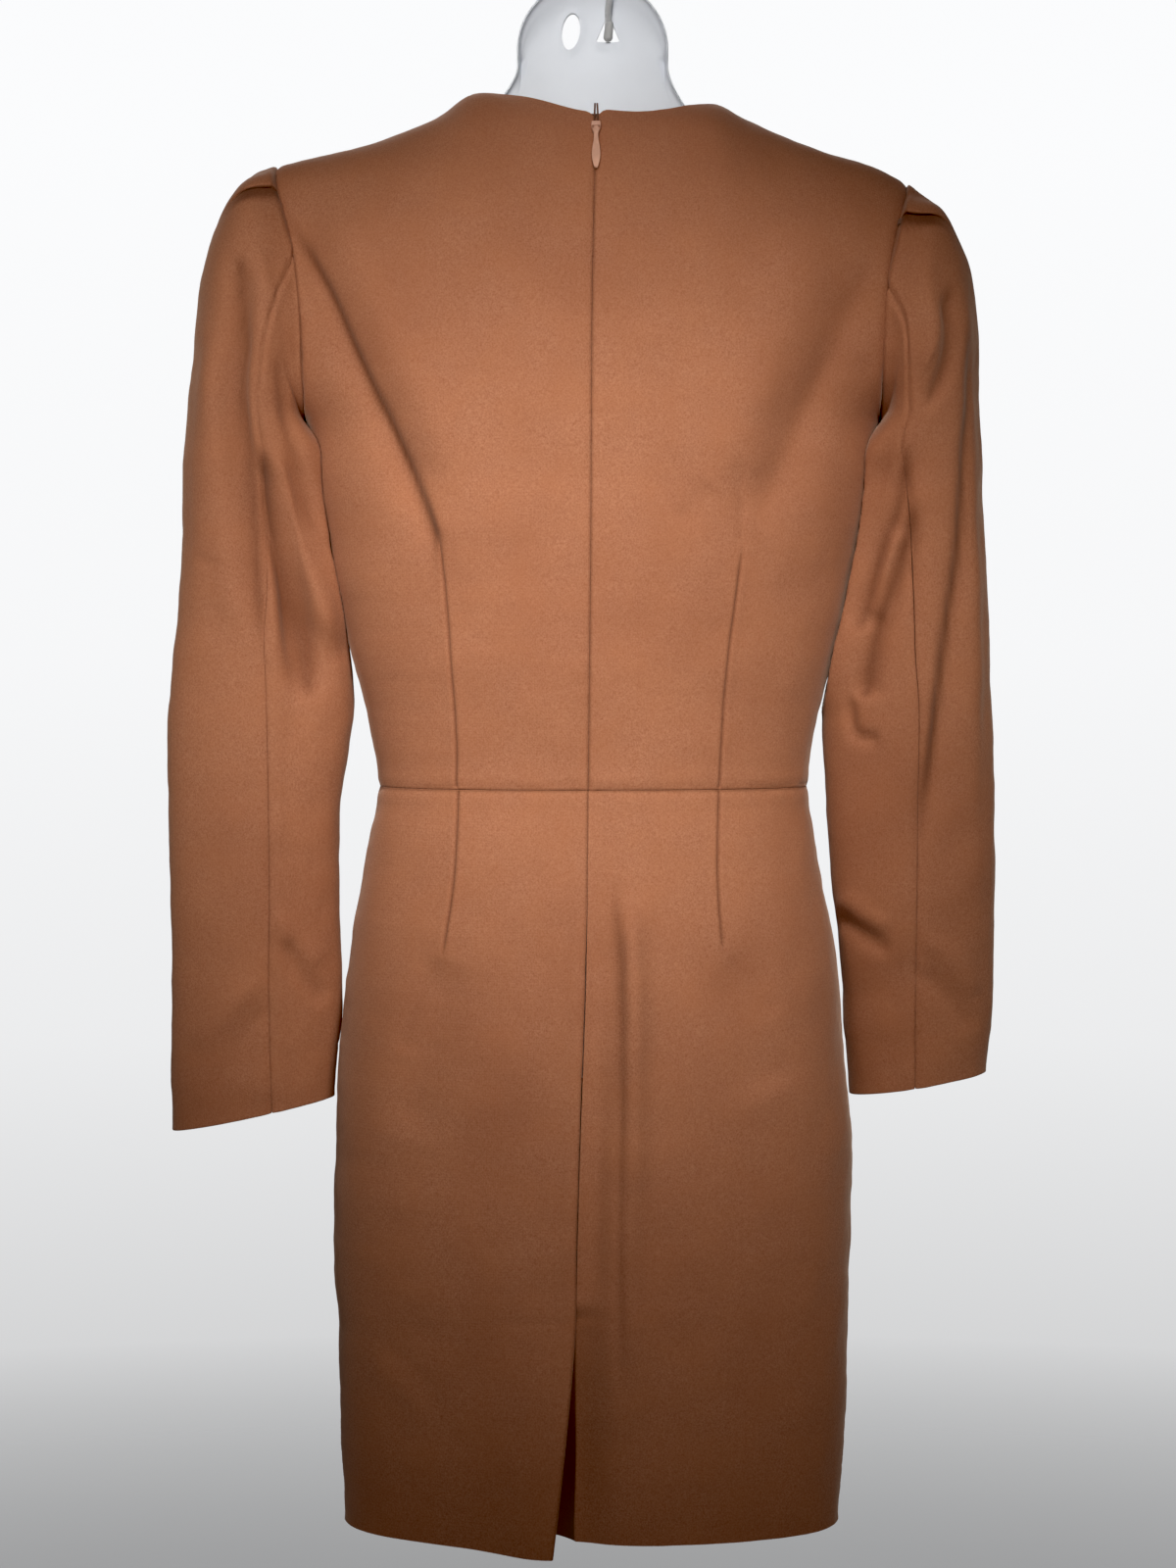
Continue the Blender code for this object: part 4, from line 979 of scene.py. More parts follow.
BODICE_WIDE, BODICE_TALL, BODICE_FRONT_TALL = 0.205, 0.46, 0.44  # along the cloth of half a bodice
SKIRT_WIDE = 0.215
BODICE_DART_AT, SKIRT_DART_AT, FRONT_DART_AT = 0.56, 0.50, 0.50  # the column that follows the dart
BODICE_FACING, SKIRT_FACING = 0.05, 0.045  # how deep the cloth turns in below the neck and above the hem
UNDERLAP_COLUMNS = np.array([1.0, 0.86, 0.72, 0.58, 0.44, 0.32, 0.22, 0.14, 0.08, 0.035])
UNDERLAP_PAINTED_SHADE = 0.95  # painted shade on the vent's inner layer, which lies in the dark


def column_near(columns, share):
    return columns[np.abs(columns - share).argmin()]


def front_base(half_panel, wide, rows, guides):
    """The front's grid of places, its right and left halves joined down the middle."""
    columns = graded(wide, PLAIN_CELL, [FRONT_DART_AT])
    mark = column_near(columns, FRONT_DART_AT)
    right = half_panel(-1, False, columns, rows, guides[0], mark)
    left = half_panel(1, False, columns, rows, guides[1], mark)
    return np.concatenate([right[:, :0:-1], left[:, 1:]], 1)


def build_bodice():
    columns = graded(BODICE_WIDE, CELL, [BODICE_DART_AT])
    rows = graded(BODICE_TALL, CELL)
    mark = column_near(columns, BODICE_DART_AT)
    for side, x_sign, dart in (("left", 1, LEFT_DART), ("right", -1, RIGHT_DART)):
        base = bodice_panel(x_sign, True, columns, rows, dart, mark)
        panel(f"back_bodice_{side}_cloth", f"back_bodice_{side}", base, axis_of(base), BACK_CREASES,
              (ZIP_SIDE, FINISH, FIRST_ROW), lined=lined_cells(base, 0.0, BODICE_FACING))
    guides = (FRONT_GUIDE_RIGHT, FRONT_GUIDE_LEFT)
    base = front_base(bodice_panel, BODICE_WIDE, graded(BODICE_FRONT_TALL, PLAIN_CELL), guides)
    panel("front_bodice_cloth", "front_bodice", base, axis_of(base), FRONT_CREASES,
          (START, FINISH, FIRST_ROW), lined=lined_cells(base, 0.0, BODICE_FACING))


def build_skirt():
    above = WAIST + (VENT_TOP - WAIST) * graded(WAIST - VENT_TOP, CELL)
    below = VENT_TOP + (HEM - VENT_TOP) * graded(VENT_TOP - HEM, CELL)[1:]
    heights = np.concatenate([above, below])
    columns = graded(SKIRT_WIDE, CELL, [SKIRT_DART_AT])
    mark = column_near(columns, SKIRT_DART_AT)
    for side, x_sign, dart in (("left", 1, LEFT_SKIRT_DART), ("right", -1, RIGHT_SKIRT_DART)):
        base = skirt_panel(x_sign, True, columns, heights, dart, mark)
        missing, shade = None, None
        if side == "right":
            lap = len(UNDERLAP_COLUMNS)
            base = np.concatenate([underlap_panel(UNDERLAP_COLUMNS, heights), base], 1)
            missing = np.zeros((base.shape[0] - 1, base.shape[1] - 1), bool)
            missing[: int(np.argmax(heights < VENT_TOP + 1e-6)), :lap] = True
            # painted shade over the underlap's columns
            shade = np.zeros(base.shape[:2])
            shade[:, :lap] = UNDERLAP_PAINTED_SHADE
        panel(f"back_skirt_{side}_cloth", f"back_skirt_{side}", base, axis_of(base), BACK_CREASES,
              (FIRST_ROW, FINISH) + ((ZIP_SIDE,) if side == "left" else ()), missing=missing,
              lined=lined_cells(base, 0.0, SKIRT_FACING), hem=(0, True),
              shade=shade)
    guides = (FRONT_SKIRT_DART_RIGHT, FRONT_SKIRT_DART_LEFT)
    base = front_base(skirt_panel, SKIRT_WIDE, heights[::2], guides)
    panel("front_skirt_cloth", "front_skirt", base, axis_of(base), FRONT_CREASES, (FIRST_ROW, START, FINISH),
          lined=lined_cells(base, 0.0, SKIRT_FACING), hem=(0, True))


FRONT_BODICE_DART_LEFT = ((0.080, -0.592), (0.082, -0.540), (0.086, -0.480), (0.090, -0.430))
FRONT_BODICE_DART_RIGHT = mirrored(FRONT_BODICE_DART_LEFT)
# the column that follows the dart, carried on above it to the middle of the shoulder
FRONT_GUIDE_LEFT = (*FRONT_BODICE_DART_LEFT, (0.098, -0.360), (0.110, -0.280), (0.122, -0.200))
FRONT_GUIDE_RIGHT = mirrored(FRONT_GUIDE_LEFT)
FRONT_SKIRT_DART_LEFT = ((0.080, -0.592), (0.081, -0.630), (0.083, -0.672))
FRONT_SKIRT_DART_RIGHT = mirrored(FRONT_SKIRT_DART_LEFT)
FRONT_CREASES = (
    dart_groove(FRONT_BODICE_DART_LEFT),
    dart_groove(FRONT_BODICE_DART_RIGHT),
    dart_groove(FRONT_SKIRT_DART_LEFT),
    dart_groove(FRONT_SKIRT_DART_RIGHT),
    ("trough", 0.0100, -0.0022, ((0.110, -0.405), (0.138, -0.345), (0.172, -0.270))),
    ("trough", 0.0110, -0.0020, ((-0.106, -0.410), (-0.136, -0.338), (-0.176, -0.262))),
    ("ridge", 0.0130, 0.0020, ((0.030, -0.690), (0.034, -0.860), (0.032, -1.080))),
    ("trough", 0.0110, -0.0020, ((-0.020, -0.700), (-0.024, -0.880), (-0.026, -1.080))),
    ("trough", 0.0120, -0.0018, ((0.088, -0.690), (0.104, -0.760), (0.112, -0.830))),
    ("trough", 0.0120, -0.0018, ((-0.086, -0.690), (-0.100, -0.765), (-0.108, -0.850))),
    ("trough", 0.0070, -0.0012, ((0.040, -0.602), (0.020, -0.622), (-0.010, -0.632))),
)

LEFT_BACK_SEAM = (
    (0.1950, -0.2500), (0.1962, -0.2535), (0.2006, -0.2638), (0.2038, -0.2740), (0.2083, -0.2901),
    (0.2115, -0.3042), (0.2160, -0.3330), (0.2180, -0.3638), (0.2179, -0.4093), (0.2167, -0.4548),
    (0.2154, -0.4997), (0.2141, -0.5292), (0.2135, -0.6000), (0.2140, -0.6700), (0.2156, -0.7268),
    (0.2149, -0.8177), (0.2149, -0.8400),
)
RIGHT_BACK_SEAM = (
    (0.1900, -0.2620), (0.1917, -0.2676), (0.1981, -0.2811), (0.2026, -0.2977), (0.2045, -0.3394),
    (0.2075, -0.3780), (0.2109, -0.4163), (0.2122, -0.4484), (0.2135, -0.5144), (0.2145, -0.6000),
    (0.2160, -0.7000), (0.2179, -0.7945), (0.2180, -0.8200),
)
LEFT_SLEEVE_CREASES = (
    ("trough", 0.0075, -0.0042, ((0.2275, -0.2450), (0.2282, -0.2561), (0.2288, -0.2759), (0.2295, -0.3042),
                                 (0.2314, -0.3336), (0.2269, -0.3792), (0.2224, -0.4240), (0.2192, -0.4618),
                                 (0.2160, -0.5100))),
    ("ridge", 0.0100, 0.0030, ((0.2440, -0.2900), (0.2455, -0.3336), (0.2417, -0.3792), (0.2378, -0.4548),
                               (0.2269, -0.5074))),
    ("trough", 0.0095, -0.0085, ((0.2140, -0.3650), (0.2131, -0.3973), (0.2065, -0.4317), (0.1975, -0.4661),
                                 (0.1890, -0.5074), (0.1850, -0.5380))),
    ("ridge", 0.0085, 0.0052, ((0.2110, -0.3650), (0.2030, -0.3950), (0.1940, -0.4300), (0.1815, -0.4661),
                               (0.1690, -0.5100))),
    ("trough", 0.0055, -0.0026, ((0.2030, -0.3050), (0.1985, -0.3500), (0.1900, -0.3950), (0.1800, -0.4300))),
    ("trough", 0.0040, -0.0008, ((0.2620, -0.4420), (0.2529, -0.4448), (0.2440, -0.4490))),
    ("trough", 0.0070, -0.0015, ((0.2620, -0.8000), (0.2400, -0.7680), (0.2165, -0.7350))),
    ("ridge", 0.0070, 0.0014, ((0.2680, -0.7700), (0.2460, -0.7450), (0.2165, -0.7150))),
    ("trough", 0.0070, -0.0018, ((0.2060, -0.6900), (0.1920, -0.7200), (0.1780, -0.7380))),
    ("ridge", 0.0070, 0.0014, ((0.2120, -0.6750), (0.1980, -0.6950), (0.1800, -0.7120))),
)
RIGHT_SLEEVE_CREASES = (
    ("trough", 0.0060, -0.0036, ((-0.2295, -0.2650), (-0.2300, -0.2850), (-0.2301, -0.3048),
                                 (-0.2244, -0.3292), (-0.2140, -0.3420))),
    ("ridge", 0.0060, 0.0022, ((-0.2180, -0.2750), (-0.2190, -0.3000), (-0.2130, -0.3200))),
    ("fold", 0.0110, 0.0034, ((-0.2465, -0.2719), (-0.2432, -0.3035), (-0.2426, -0.3383), (-0.2400, -0.3661),
                              (-0.2368, -0.4319), (-0.2342, -0.4551), (-0.2303, -0.4815), (-0.2239, -0.5377),
                              (-0.2174, -0.5990), (-0.2116, -0.6525))),
    ("trough", 0.0075, -0.0040, ((-0.2050, -0.3660), (-0.1991, -0.4070), (-0.1874, -0.4363),
                                 (-0.1786, -0.4715), (-0.1727, -0.4920))),
    ("trough", 0.0085, -0.0048, ((-0.2108, -0.4000), (-0.2006, -0.4480), (-0.1874, -0.4832),
                                 (-0.1800, -0.5213), (-0.1786, -0.5360))),
    ("ridge", 0.0070, 0.0030, ((-0.2010, -0.4200), (-0.1920, -0.4520), (-0.1840, -0.4850))),
    ("trough", 0.0040, -0.0022, ((-0.1686, -0.5253), (-0.1713, -0.5535), (-0.1786, -0.5594),
                                 (-0.1900, -0.5600))),
    ("trough", 0.0060, -0.0020, ((-0.1620, -0.6800), (-0.1800, -0.6930), (-0.2013, -0.7041))),
    ("ridge", 0.0065, 0.0016, ((-0.1640, -0.6650), (-0.1800, -0.6760), (-0.1980, -0.6880))),
    ("trough", 0.0065, -0.0016, ((-0.2600, -0.7600), (-0.2400, -0.7350), (-0.2190, -0.7150))),
    ("ridge", 0.0065, 0.0013, ((-0.2620, -0.7350), (-0.2440, -0.7120), (-0.2200, -0.6900))),
)


# The sleeve's top, turned in behind the armhole: metres towards the sleeve's middle, metres towards the body
TUCK = ((0.0026, 0.0032), (0.0016, 0.0016), (0.0007, 0.0005))
SLEEVE_LENGTH = 0.64
TOP_GIRTH = 0.35
DEGREES_PER_METRE = 360 / TOP_GIRTH
PLEAT_ROOM = (-0.0045, 0.0140)  # past a pleat's edge, the stretch that has the columns of its own section
PLEAT_LEAD = (-0.0004, -0.0010, -0.0020, -0.0032)  # those of them before the edge
CUFF_FACING = 0.040
# painted shade along the sleeves' seams
SLEEVE_SEAM_PAINTED_SHADE = 0.14


def pleat_columns(columns, edges):
    """The columns in degrees, with a pleat's finer ones put in beside each edge."""
    section = np.array([row[0] for row in PLEAT_SECTION])
    section = np.unique(np.concatenate([section, (section[1:] + section[:-1]) / 2, PLEAT_LEAD]))
    low, high = (past * DEGREES_PER_METRE for past in PLEAT_ROOM)
    for edge in edges:
        turn = math.copysign(1, edge)
        away = (columns - edge) * turn
        columns = columns[(away < low) | (away > high)]
        columns = np.sort(np.concatenate([columns, edge + turn * section * DEGREES_PER_METRE]))
    return columns


def degrees_of(table, columns, edges, share, first, last):
    """Degrees round the sleeve for each place of a panel whose two seams lie at first and last."""
    known = [first[0], *edges, last[0]]
    rows = []
    for at, *seams in zip(share, first, last):
        gaps = []
        for seam in seams:
            run = np.linalg.norm(ring_point(table, at, seam + 0.5) - ring_point(table, at, seam - 0.5))
            gaps.append(EDGE / float(run))
        ends = [seams[0] + gaps[0], *(pleat_edge(edge, at) for edge in edges), seams[1] - gaps[1]]
        rows.append(np.interp(columns, known, ends))
    return np.array(rows)


def build_sleeve(side, x_sign, table, pleats, folds, creases, seam_line):
    share = graded(SLEEVE_LENGTH, CELL)
    front = seam_at(FRONT_SEAM, share)
    back = back_seam_degrees(x_sign, table, seam_line, share)
    cuts = (("upper_sleeve", front, back, pleats), ("under_sleeve", back, front + 360, ()))
    for name, first, last, gathers in cuts:
        edges = [edge for edge, _, _ in gathers]
        round_it = last[0] - first[0]
        columns = first[0] + round_it * graded(round_it / DEGREES_PER_METRE, CELL)
        columns = pleat_columns(columns, edges)
        degrees = degrees_of(table, columns, edges, share, first, last)
        shares = np.repeat(share[:, None], len(columns), 1)
        full, plain = sleeve_panel(x_sign, table, gathers, folds, degrees, shares)
        across = ring_point(table, shares, degrees) + ring_point(table, shares, degrees + 180)
        core = across / 2 * np.array([x_sign, 1, 1])
        inward = unit(core[:1] - full[:1])
        aside = np.array([-x_sign, 0, 0])
        shade = pleat_shade(gathers, degrees, shares, TOP_GIRTH)
        shade = np.concatenate([0 * shade[: len(TUCK)], shade], 0)
        tops = [inward * under + aside * over for under, over in TUCK]
        full = np.concatenate([*[full[:1] + top for top in tops], full], 0)
        plain = np.concatenate([*[plain[:1] + top for top in tops], plain], 0)
        core = np.concatenate([core[:1]] * len(TUCK) + [core], 0)
        panel(f"{name}_{side}_cloth", f"{name}_{side}", full, core, creases, (START, FINISH, FIRST_ROW),
              seed=31 + x_sign, plain=plain, lined=lined_cells(full, 0.0, CUFF_FACING), weight=1.0,
              hem=(0, True),
              seam_painted_shade=SLEEVE_SEAM_PAINTED_SHADE, shade=shade)


# ---------------------------------------------------------------- materials


def shader_graph(name, colour, roughness, metallic=0.0):
    made = bpy.data.materials.new(name)
    made.use_nodes = True
    made.diffuse_color = (*colour, 1)
    tree = made.node_tree
    shader = tree.nodes["Principled BSDF"]
    shader.inputs["Base Color"].default_value = (*colour, 1.0)
    shader.inputs["Roughness"].default_value = roughness
    shader.inputs["Metallic"].default_value = metallic
    return made, tree, shader


def node(tree, kind, **settings):
    made = tree.nodes.new(kind)
    for key, value in settings.items():
        if key in made.inputs:
            made.inputs[key].default_value = value
        else:
            setattr(made, key, value)
    return made


def mixed(tree, share, first, second, blend="MIX"):
    made = tree.nodes.new("ShaderNodeMix")
    made.data_type = "RGBA"
    made.blend_type = blend
    for socket, value in ((made.inputs[0], share), (made.inputs[6], first), (made.inputs[7], second)):
        if isinstance(value, bpy.types.NodeSocket):
            tree.links.new(value, socket)
        else:
            socket.default_value = value
    return made.outputs[2]


def math_node(tree, operation, first, second=0.0):
    made = node(tree, "ShaderNodeMath", operation=operation)
    for socket, value in zip(made.inputs, (first, second)):
        if isinstance(value, bpy.types.NodeSocket):
            tree.links.new(value, socket)
        else:
            socket.default_value = value
    return made.outputs[0]


def mix_shaders(tree, share, first, second, output):
    """Shows the first shader where share is 0 and the second where it is 1."""
    both = node(tree, "ShaderNodeMixShader")
    for i, socket in enumerate((share, first.outputs[0], second.outputs[0])):
        tree.links.new(socket, both.inputs[i])
    tree.links.new(both.outputs[0], tree.nodes[output].inputs["Surface"])


def noise(tree, where, scale, detail=2.0, rough=0.5):
    made = node(tree, "ShaderNodeTexNoise", Scale=scale, Detail=detail, Roughness=rough)
    tree.links.new(where, made.inputs["Vector"])
    return made.outputs["Fac"]


def ramp(tree, value, low, high):
    made = node(tree, "ShaderNodeMapRange", **{"From Min": low, "From Max": high})
    tree.links.new(value, made.inputs["Value"])
    return made.outputs["Result"]


def bands(tree, where, direction, scale, distortion, detail=2.0):
    made = node(tree, "ShaderNodeTexWave", wave_type="BANDS", bands_direction=direction, Scale=scale,
                Distortion=distortion, Detail=detail)
    tree.links.new(where, made.inputs["Vector"])
    return made.outputs["Fac"]


def stretched(tree, where, scale):
    made = node(tree, "ShaderNodeMapping", Scale=scale)
    tree.links.new(where, made.inputs["Vector"])
    return made.outputs["Vector"]


def bumped(tree, shader, height, strength, distance, under=None):
    """Feeds the shader the normal of a surface with this height in it, over the normal under it."""
    made = node(tree, "ShaderNodeBump", Strength=strength, Distance=distance)
    tree.links.new(height, made.inputs["Height"])
    if under is not None:
        tree.links.new(under, made.inputs["Normal"])
    tree.links.new(made.outputs["Normal"], shader.inputs["Normal"])
    return made.outputs["Normal"]


def scaled(tree, value, share, added=0.0):
    product = math_node(tree, "MULTIPLY", value, share)
    return math_node(tree, "ADD", product, added) if added else product


PAINTED_SHADE_TINT = (0.30, 0.24, 0.22)  # the colour of the painted shade at its darkest, as shares of the wool's darkest


def wool_material(name, dark, middle, light, sheen, warm):
    """Brushed wool: a fine twill under a short nap, heathered, with the nap lying this way and that, and
    darkened by painted shade.
    """
    made, tree, shader = shader_graph(name, middle, 0.88)
    where = node(tree, "ShaderNodeTexCoord").outputs["Object"]
    grain = node(tree, "ShaderNodeUVMap", uv_map="grain").outputs["UV"]
    fibres = noise(tree, stretched(tree, grain, (1.0, 0.30, 1.0)), 1500.0, 3.0, 0.65)
    heather = noise(tree, where, 900.0, 2.0, 0.6)
    nap = noise(tree, where, 34.0, 4.0, 0.62)
    broad = noise(tree, where, 9.0, 3.0, 0.5)
    threads, picks = (bands(tree, grain, way, scale, 1.2, 1.5) for way, scale in (("X", 200.0), ("Y", 180.0)))
    weave = math_node(tree, "MULTIPLY", threads, picks)
    # painted shade of the creases, seams, pleat slits and underlap, read from the attribute named pressed;
    # deep is its colour
    painted_shade_fac = node(tree, "ShaderNodeAttribute", attribute_name="pressed").outputs["Fac"]
    deep = tuple(part * share for part, share in zip(dark, PAINTED_SHADE_TINT))

    colour = mixed(tree, ramp(tree, heather, 0.30, 0.70), (*dark, 1), (*light, 1))
    colour = mixed(tree, 0.42, colour, (*middle, 1))
    for value, share, tint in (
        (ramp(tree, fibres, 0.40, 0.80), 0.42, light),
        (ramp(tree, nap, 0.35, 0.70), 0.42, warm),
        (ramp(tree, broad, 0.40, 0.70), 0.30, dark),
        (weave, 0.06, light),
        (painted_shade_fac, 0.85, deep),
    ):
        colour = mixed(tree, scaled(tree, value, share), colour, (*tint, 1))
    tree.links.new(colour, shader.inputs["Base Color"])

    tree.links.new(scaled(tree, nap, 0.14, 0.78), shader.inputs["Roughness"])
    shader.inputs["Specular IOR Level"].default_value = 0.25
    shader.inputs["Sheen Weight"].default_value = sheen
    shader.inputs["Sheen Roughness"].default_value = 0.42
    shader.inputs["Sheen Tint"].default_value = (1.0, 0.78, 0.62, 1.0)

    height = math_node(tree, "ADD", scaled(tree, fibres, 0.55), scaled(tree, weave, 0.30))
    height = math_node(tree, "ADD", height, scaled(tree, heather, 0.45))
    soft = bumped(tree, shader, nap, 0.35, 0.0014)
    bumped(tree, shader, height, 0.50, 0.00035, soft)
    return made


def lining_material():
    """Plain acetate lining: close vertical threads with a soft shine."""
    made, tree, shader = shader_graph("dress_lining", (0.16, 0.075, 0.042), 0.42)
    threads = bands(tree, node(tree, "ShaderNodeUVMap", uv_map="grain").outputs["UV"], "X", 420.0, 0.6)
    colour = mixed(tree, threads, (0.135, 0.060, 0.034, 1), (0.185, 0.090, 0.052, 1))
    tree.links.new(colour, shader.inputs["Base Color"])
    shader.inputs["Sheen Weight"].default_value = 0.25
    bumped(tree, shader, threads, 0.25, 0.0002)
    return made


def plastic_material(name, colour, roughness, specks=0.02):
    made, tree, shader = shader_graph(name, colour, roughness)
    where = node(tree, "ShaderNodeTexCoord").outputs["Object"]
    cloud = noise(tree, where, 22.0, 4.0, 0.55)
    darker = tuple(c * (1 - specks * 3) for c in colour)
    base = mixed(tree, ramp(tree, cloud, 0.35, 0.7), (*colour, 1), (*darker, 1))
    tree.links.new(base, shader.inputs["Base Color"])
    tree.links.new(scaled(tree, cloud, 0.16, roughness - 0.08), shader.inputs["Roughness"])
    bumped(tree, shader, noise(tree, where, 420.0, 2.0, 0.5), 0.12, 0.0003)
    return made


def metal_material(name, colour, roughness, metallic, stretch=(1, 1, 1)):
    made, tree, shader = shader_graph(name, colour, roughness, metallic)
    where = node(tree, "ShaderNodeTexCoord").outputs["Object"]
    scuffs = noise(tree, stretched(tree, where, stretch), 600.0, 3.0, 0.6)
    worn = noise(tree, where, 160.0, 2.0, 0.5)
    lighter = tuple(min(c * 1.18, 1.0) for c in colour)
    base = mixed(tree, ramp(tree, worn, 0.4, 0.7), (*colour, 1), (*lighter, 1))
    tree.links.new(base, shader.inputs["Base Color"])
    tree.links.new(scaled(tree, scuffs, 0.20, roughness - 0.10), shader.inputs["Roughness"])
    bumped(tree, shader, scuffs, 0.15, 0.0001)
    return made


WOOL = wool_material("camel_wool", (0.225, 0.074, 0.036), (0.335, 0.123, 0.060), (0.49, 0.228, 0.128), 0.28,
                     (0.38, 0.146, 0.068))
TAPE = wool_material("zip_tape_cloth", (0.10, 0.040, 0.022), (0.16, 0.065, 0.038), (0.22, 0.10, 0.06), 0.1,
                     (0.18, 0.08, 0.045))
LINING = lining_material()
FORM = plastic_material("form_plastic", (0.86, 0.88, 0.92), 0.50, 0.01)
PLUG = plastic_material("plug_plastic", (0.50, 0.49, 0.47), 0.60, 0.05)
STEEL = metal_material("hook_wire", (0.74, 0.74, 0.73), 0.42, 0.25, (1, 1, 0.1))
ENAMEL = metal_material("zip_enamel", (0.62, 0.34, 0.235), 0.38, 0.15)

# ---------------------------------------------------------------- the form, the hook and the zip

SHELL = 0.0030
FORM_FOOT = -0.800
FORM_CLEAR = 0.008  # from the shell to the cloth round it
FORM_SEAT = 0.0011  # from its rim to the shoulders' cloth, which it carries
FORM_SHOULDER = 0.192
FORM_FAN = 0.15
RIM_PARTS = (0.36, 0.44, 0.56)  # shares of the rim where the tab's arch, its side and its flare end
NECK_WIDE = (0.045, 0.040)
NECK_LOW = (-0.250, 0.095)
TAB_WIDE = (0.020, 0.016)
TAB_HALF = 0.0500
TAB_TOP = -0.0580
TAB_SIDE = -0.1050
TAB_FOOT = -0.1160
TAB_FLARE = 0.0120
TAB_DEPTH = 0.0100
TAB_CURL = 0.0300
WIRE = 0.0022
HOOK_BEND = 0.0200
HOOK_TURN = (205, -38)
SHANK_X = -0.0110
HOOK_HOLE = (-0.0102, -0.0895)
HOOK_HOLE_SIZE = (0.0163, 0.0190)
HOOK_HOLE_ROUND = 0.0022
OVAL_HOLE = (0.0144, -0.0920)
OVAL_SIZE = (0.0118, 0.0240)
OVAL_TILT = math.radians(-8)
PLUG_SIZE = (0.0074, 0.0090, 0.0070)
PLUG_Y = -0.0090
PLUG_GAP = 0.0003
WIRE_FOOT = (
    (0.0, -0.0090, 0.0003),
    (0.0, -0.0090, 0.0014),
    (0.0, -0.0072, 0.0036),
    (0.0, -0.0040, 0.0066),
    (0.0, 0.0014, 0.0130),
    (1.0, 0.0054, 0.0210),
)
WIRE_SHANK = (
    (0.0, 0.0054, -0.0580),
    (0.0, 0.0038, -0.0480),
    (-0.0015, 0.0016, -0.0400),
)


def form_rim(x_sign, share):
    arch, side, flare = RIM_PARTS
    turn = np.clip(share / arch, 0, 1) * math.pi / 2
    down = np.clip((share - arch) / (side - arch), 0, 1)
    out = np.clip((share - side) / (flare - side), 0, 1)
    neck_x = TAB_HALF + TAB_FLARE
    foot = ridge(x_sign, neck_x) - CLOTH - FORM_SEAT
    far_x = neck_x + (FORM_SHOULDER - neck_x) * (share - flare) / (1 - flare)
    x = np.select(
        [share <= arch, share <= side, share <= flare],
        [TAB_HALF * np.sin(turn), TAB_HALF + 0 * share, TAB_HALF + TAB_FLARE * out**1.6],
        far_x,
    )
    z = np.select(
        [share <= arch, share <= side, share <= flare],
        [
            TAB_SIDE + (TAB_TOP - TAB_SIDE) * np.cos(turn),
            TAB_SIDE + (TAB_FOOT - TAB_SIDE) * down,
            TAB_FOOT + (foot - TAB_FOOT) * out,
        ],
        ridge(x_sign, far_x) - CLOTH - FORM_SEAT,
    )
    return x, z


def form_points(x_sign, share, rise):
    x_rim, z_rim = form_rim(x_sign, share)
    z = FORM_FOOT + (z_rim - FORM_FOOT) * (1 - (1 - rise) ** 1.5)
    inside = CLOTH + FORM_CLEAR
    across = (1 - FORM_FAN) * x_rim / FORM_SHOULDER + FORM_FAN * share
    x = (half_width(np.minimum(z, UNDERARM)) - inside) * across
    x = x + (x_rim - x) * ease((z - UNDERARM) / (z_rim - UNDERARM))
    wide = np.maximum(half_width(z) - inside, x)
    deep = (1 - (x / wide) ** SECTION) ** (1 / SECTION)
    neck = ease((TAB_HALF + NECK_WIDE[0] - x) / NECK_WIDE[1]) * ease((z - NECK_LOW[0]) / NECK_LOW[1])
    tab = ease((TAB_HALF + TAB_WIDE[0] - x) / TAB_WIDE[1])
    full = (depth(z, False) - inside) * deep
    reach = CLOSING_HEIGHT + (TAB_CURL - CLOSING_HEIGHT) * tab * neck
    high = np.maximum(1 - (z_rim - z) / reach, 0.0)
    closing = np.maximum(1 - high**CLOSING, 0.0) ** (1 / CLOSING)
    return np.stack([x_sign * x, -(full + (TAB_DEPTH - full) * neck) * closing, z], -1)


def oval_outline(count=48):
    turn = np.linspace(0, 2 * math.pi, count, endpoint=False)
    x, z = OVAL_SIZE[0] / 2 * np.cos(turn), OVAL_SIZE[1] / 2 * np.sin(turn)
    lean = -OVAL_TILT
    x, z = x * math.cos(lean) - z * math.sin(lean), x * math.sin(lean) + z * math.cos(lean)
    return np.stack([x + OVAL_HOLE[0], z + OVAL_HOLE[1]], -1)


def triangle_outline():
    """The hook's hole: a tall triangle with rounded corners."""
    x, z = HOOK_HOLE
    wide, high = HOOK_HOLE_SIZE
    corners = np.array([(x, z + high / 2), (x - wide / 2, z - high / 2), (x + wide / 2, z - high / 2)])
    points = []
    for i, corner in enumerate(corners):
        before, after = corners[i - 1], corners[(i + 1) % 3]
        first = corner + unit(before - corner) * HOOK_HOLE_ROUND
        last = corner + unit(after - corner) * HOOK_HOLE_ROUND
        for t in np.linspace(0, 1, 6):
            points.append((1 - t) ** 2 * first + 2 * t * (1 - t) * corner + t * t * last)
    return np.array(points)


def prism(name, outline, low, high):
    mesh = bmesh.new()
    base = mesh.faces.new([mesh.verts.new((x, low, z)) for x, z in outline])
    grown = bmesh.ops.extrude_face_region(mesh, geom=[base])
    for item in grown["geom"]:
        if isinstance(item, bmesh.types.BMVert):
            item.co.y = high
    bmesh.ops.recalc_face_normals(mesh, faces=mesh.faces)
    data = bpy.data.meshes.new(name)
    mesh.to_mesh(data)
    mesh.free()
    return placed(name, data)


def settle(made):
    """The object's modifiers worked into its mesh."""
    graph = bpy.context.evaluated_depsgraph_get()
    mesh = bpy.data.meshes.new_from_object(made.evaluated_get(graph))
    made.modifiers.clear()
    made.data = mesh


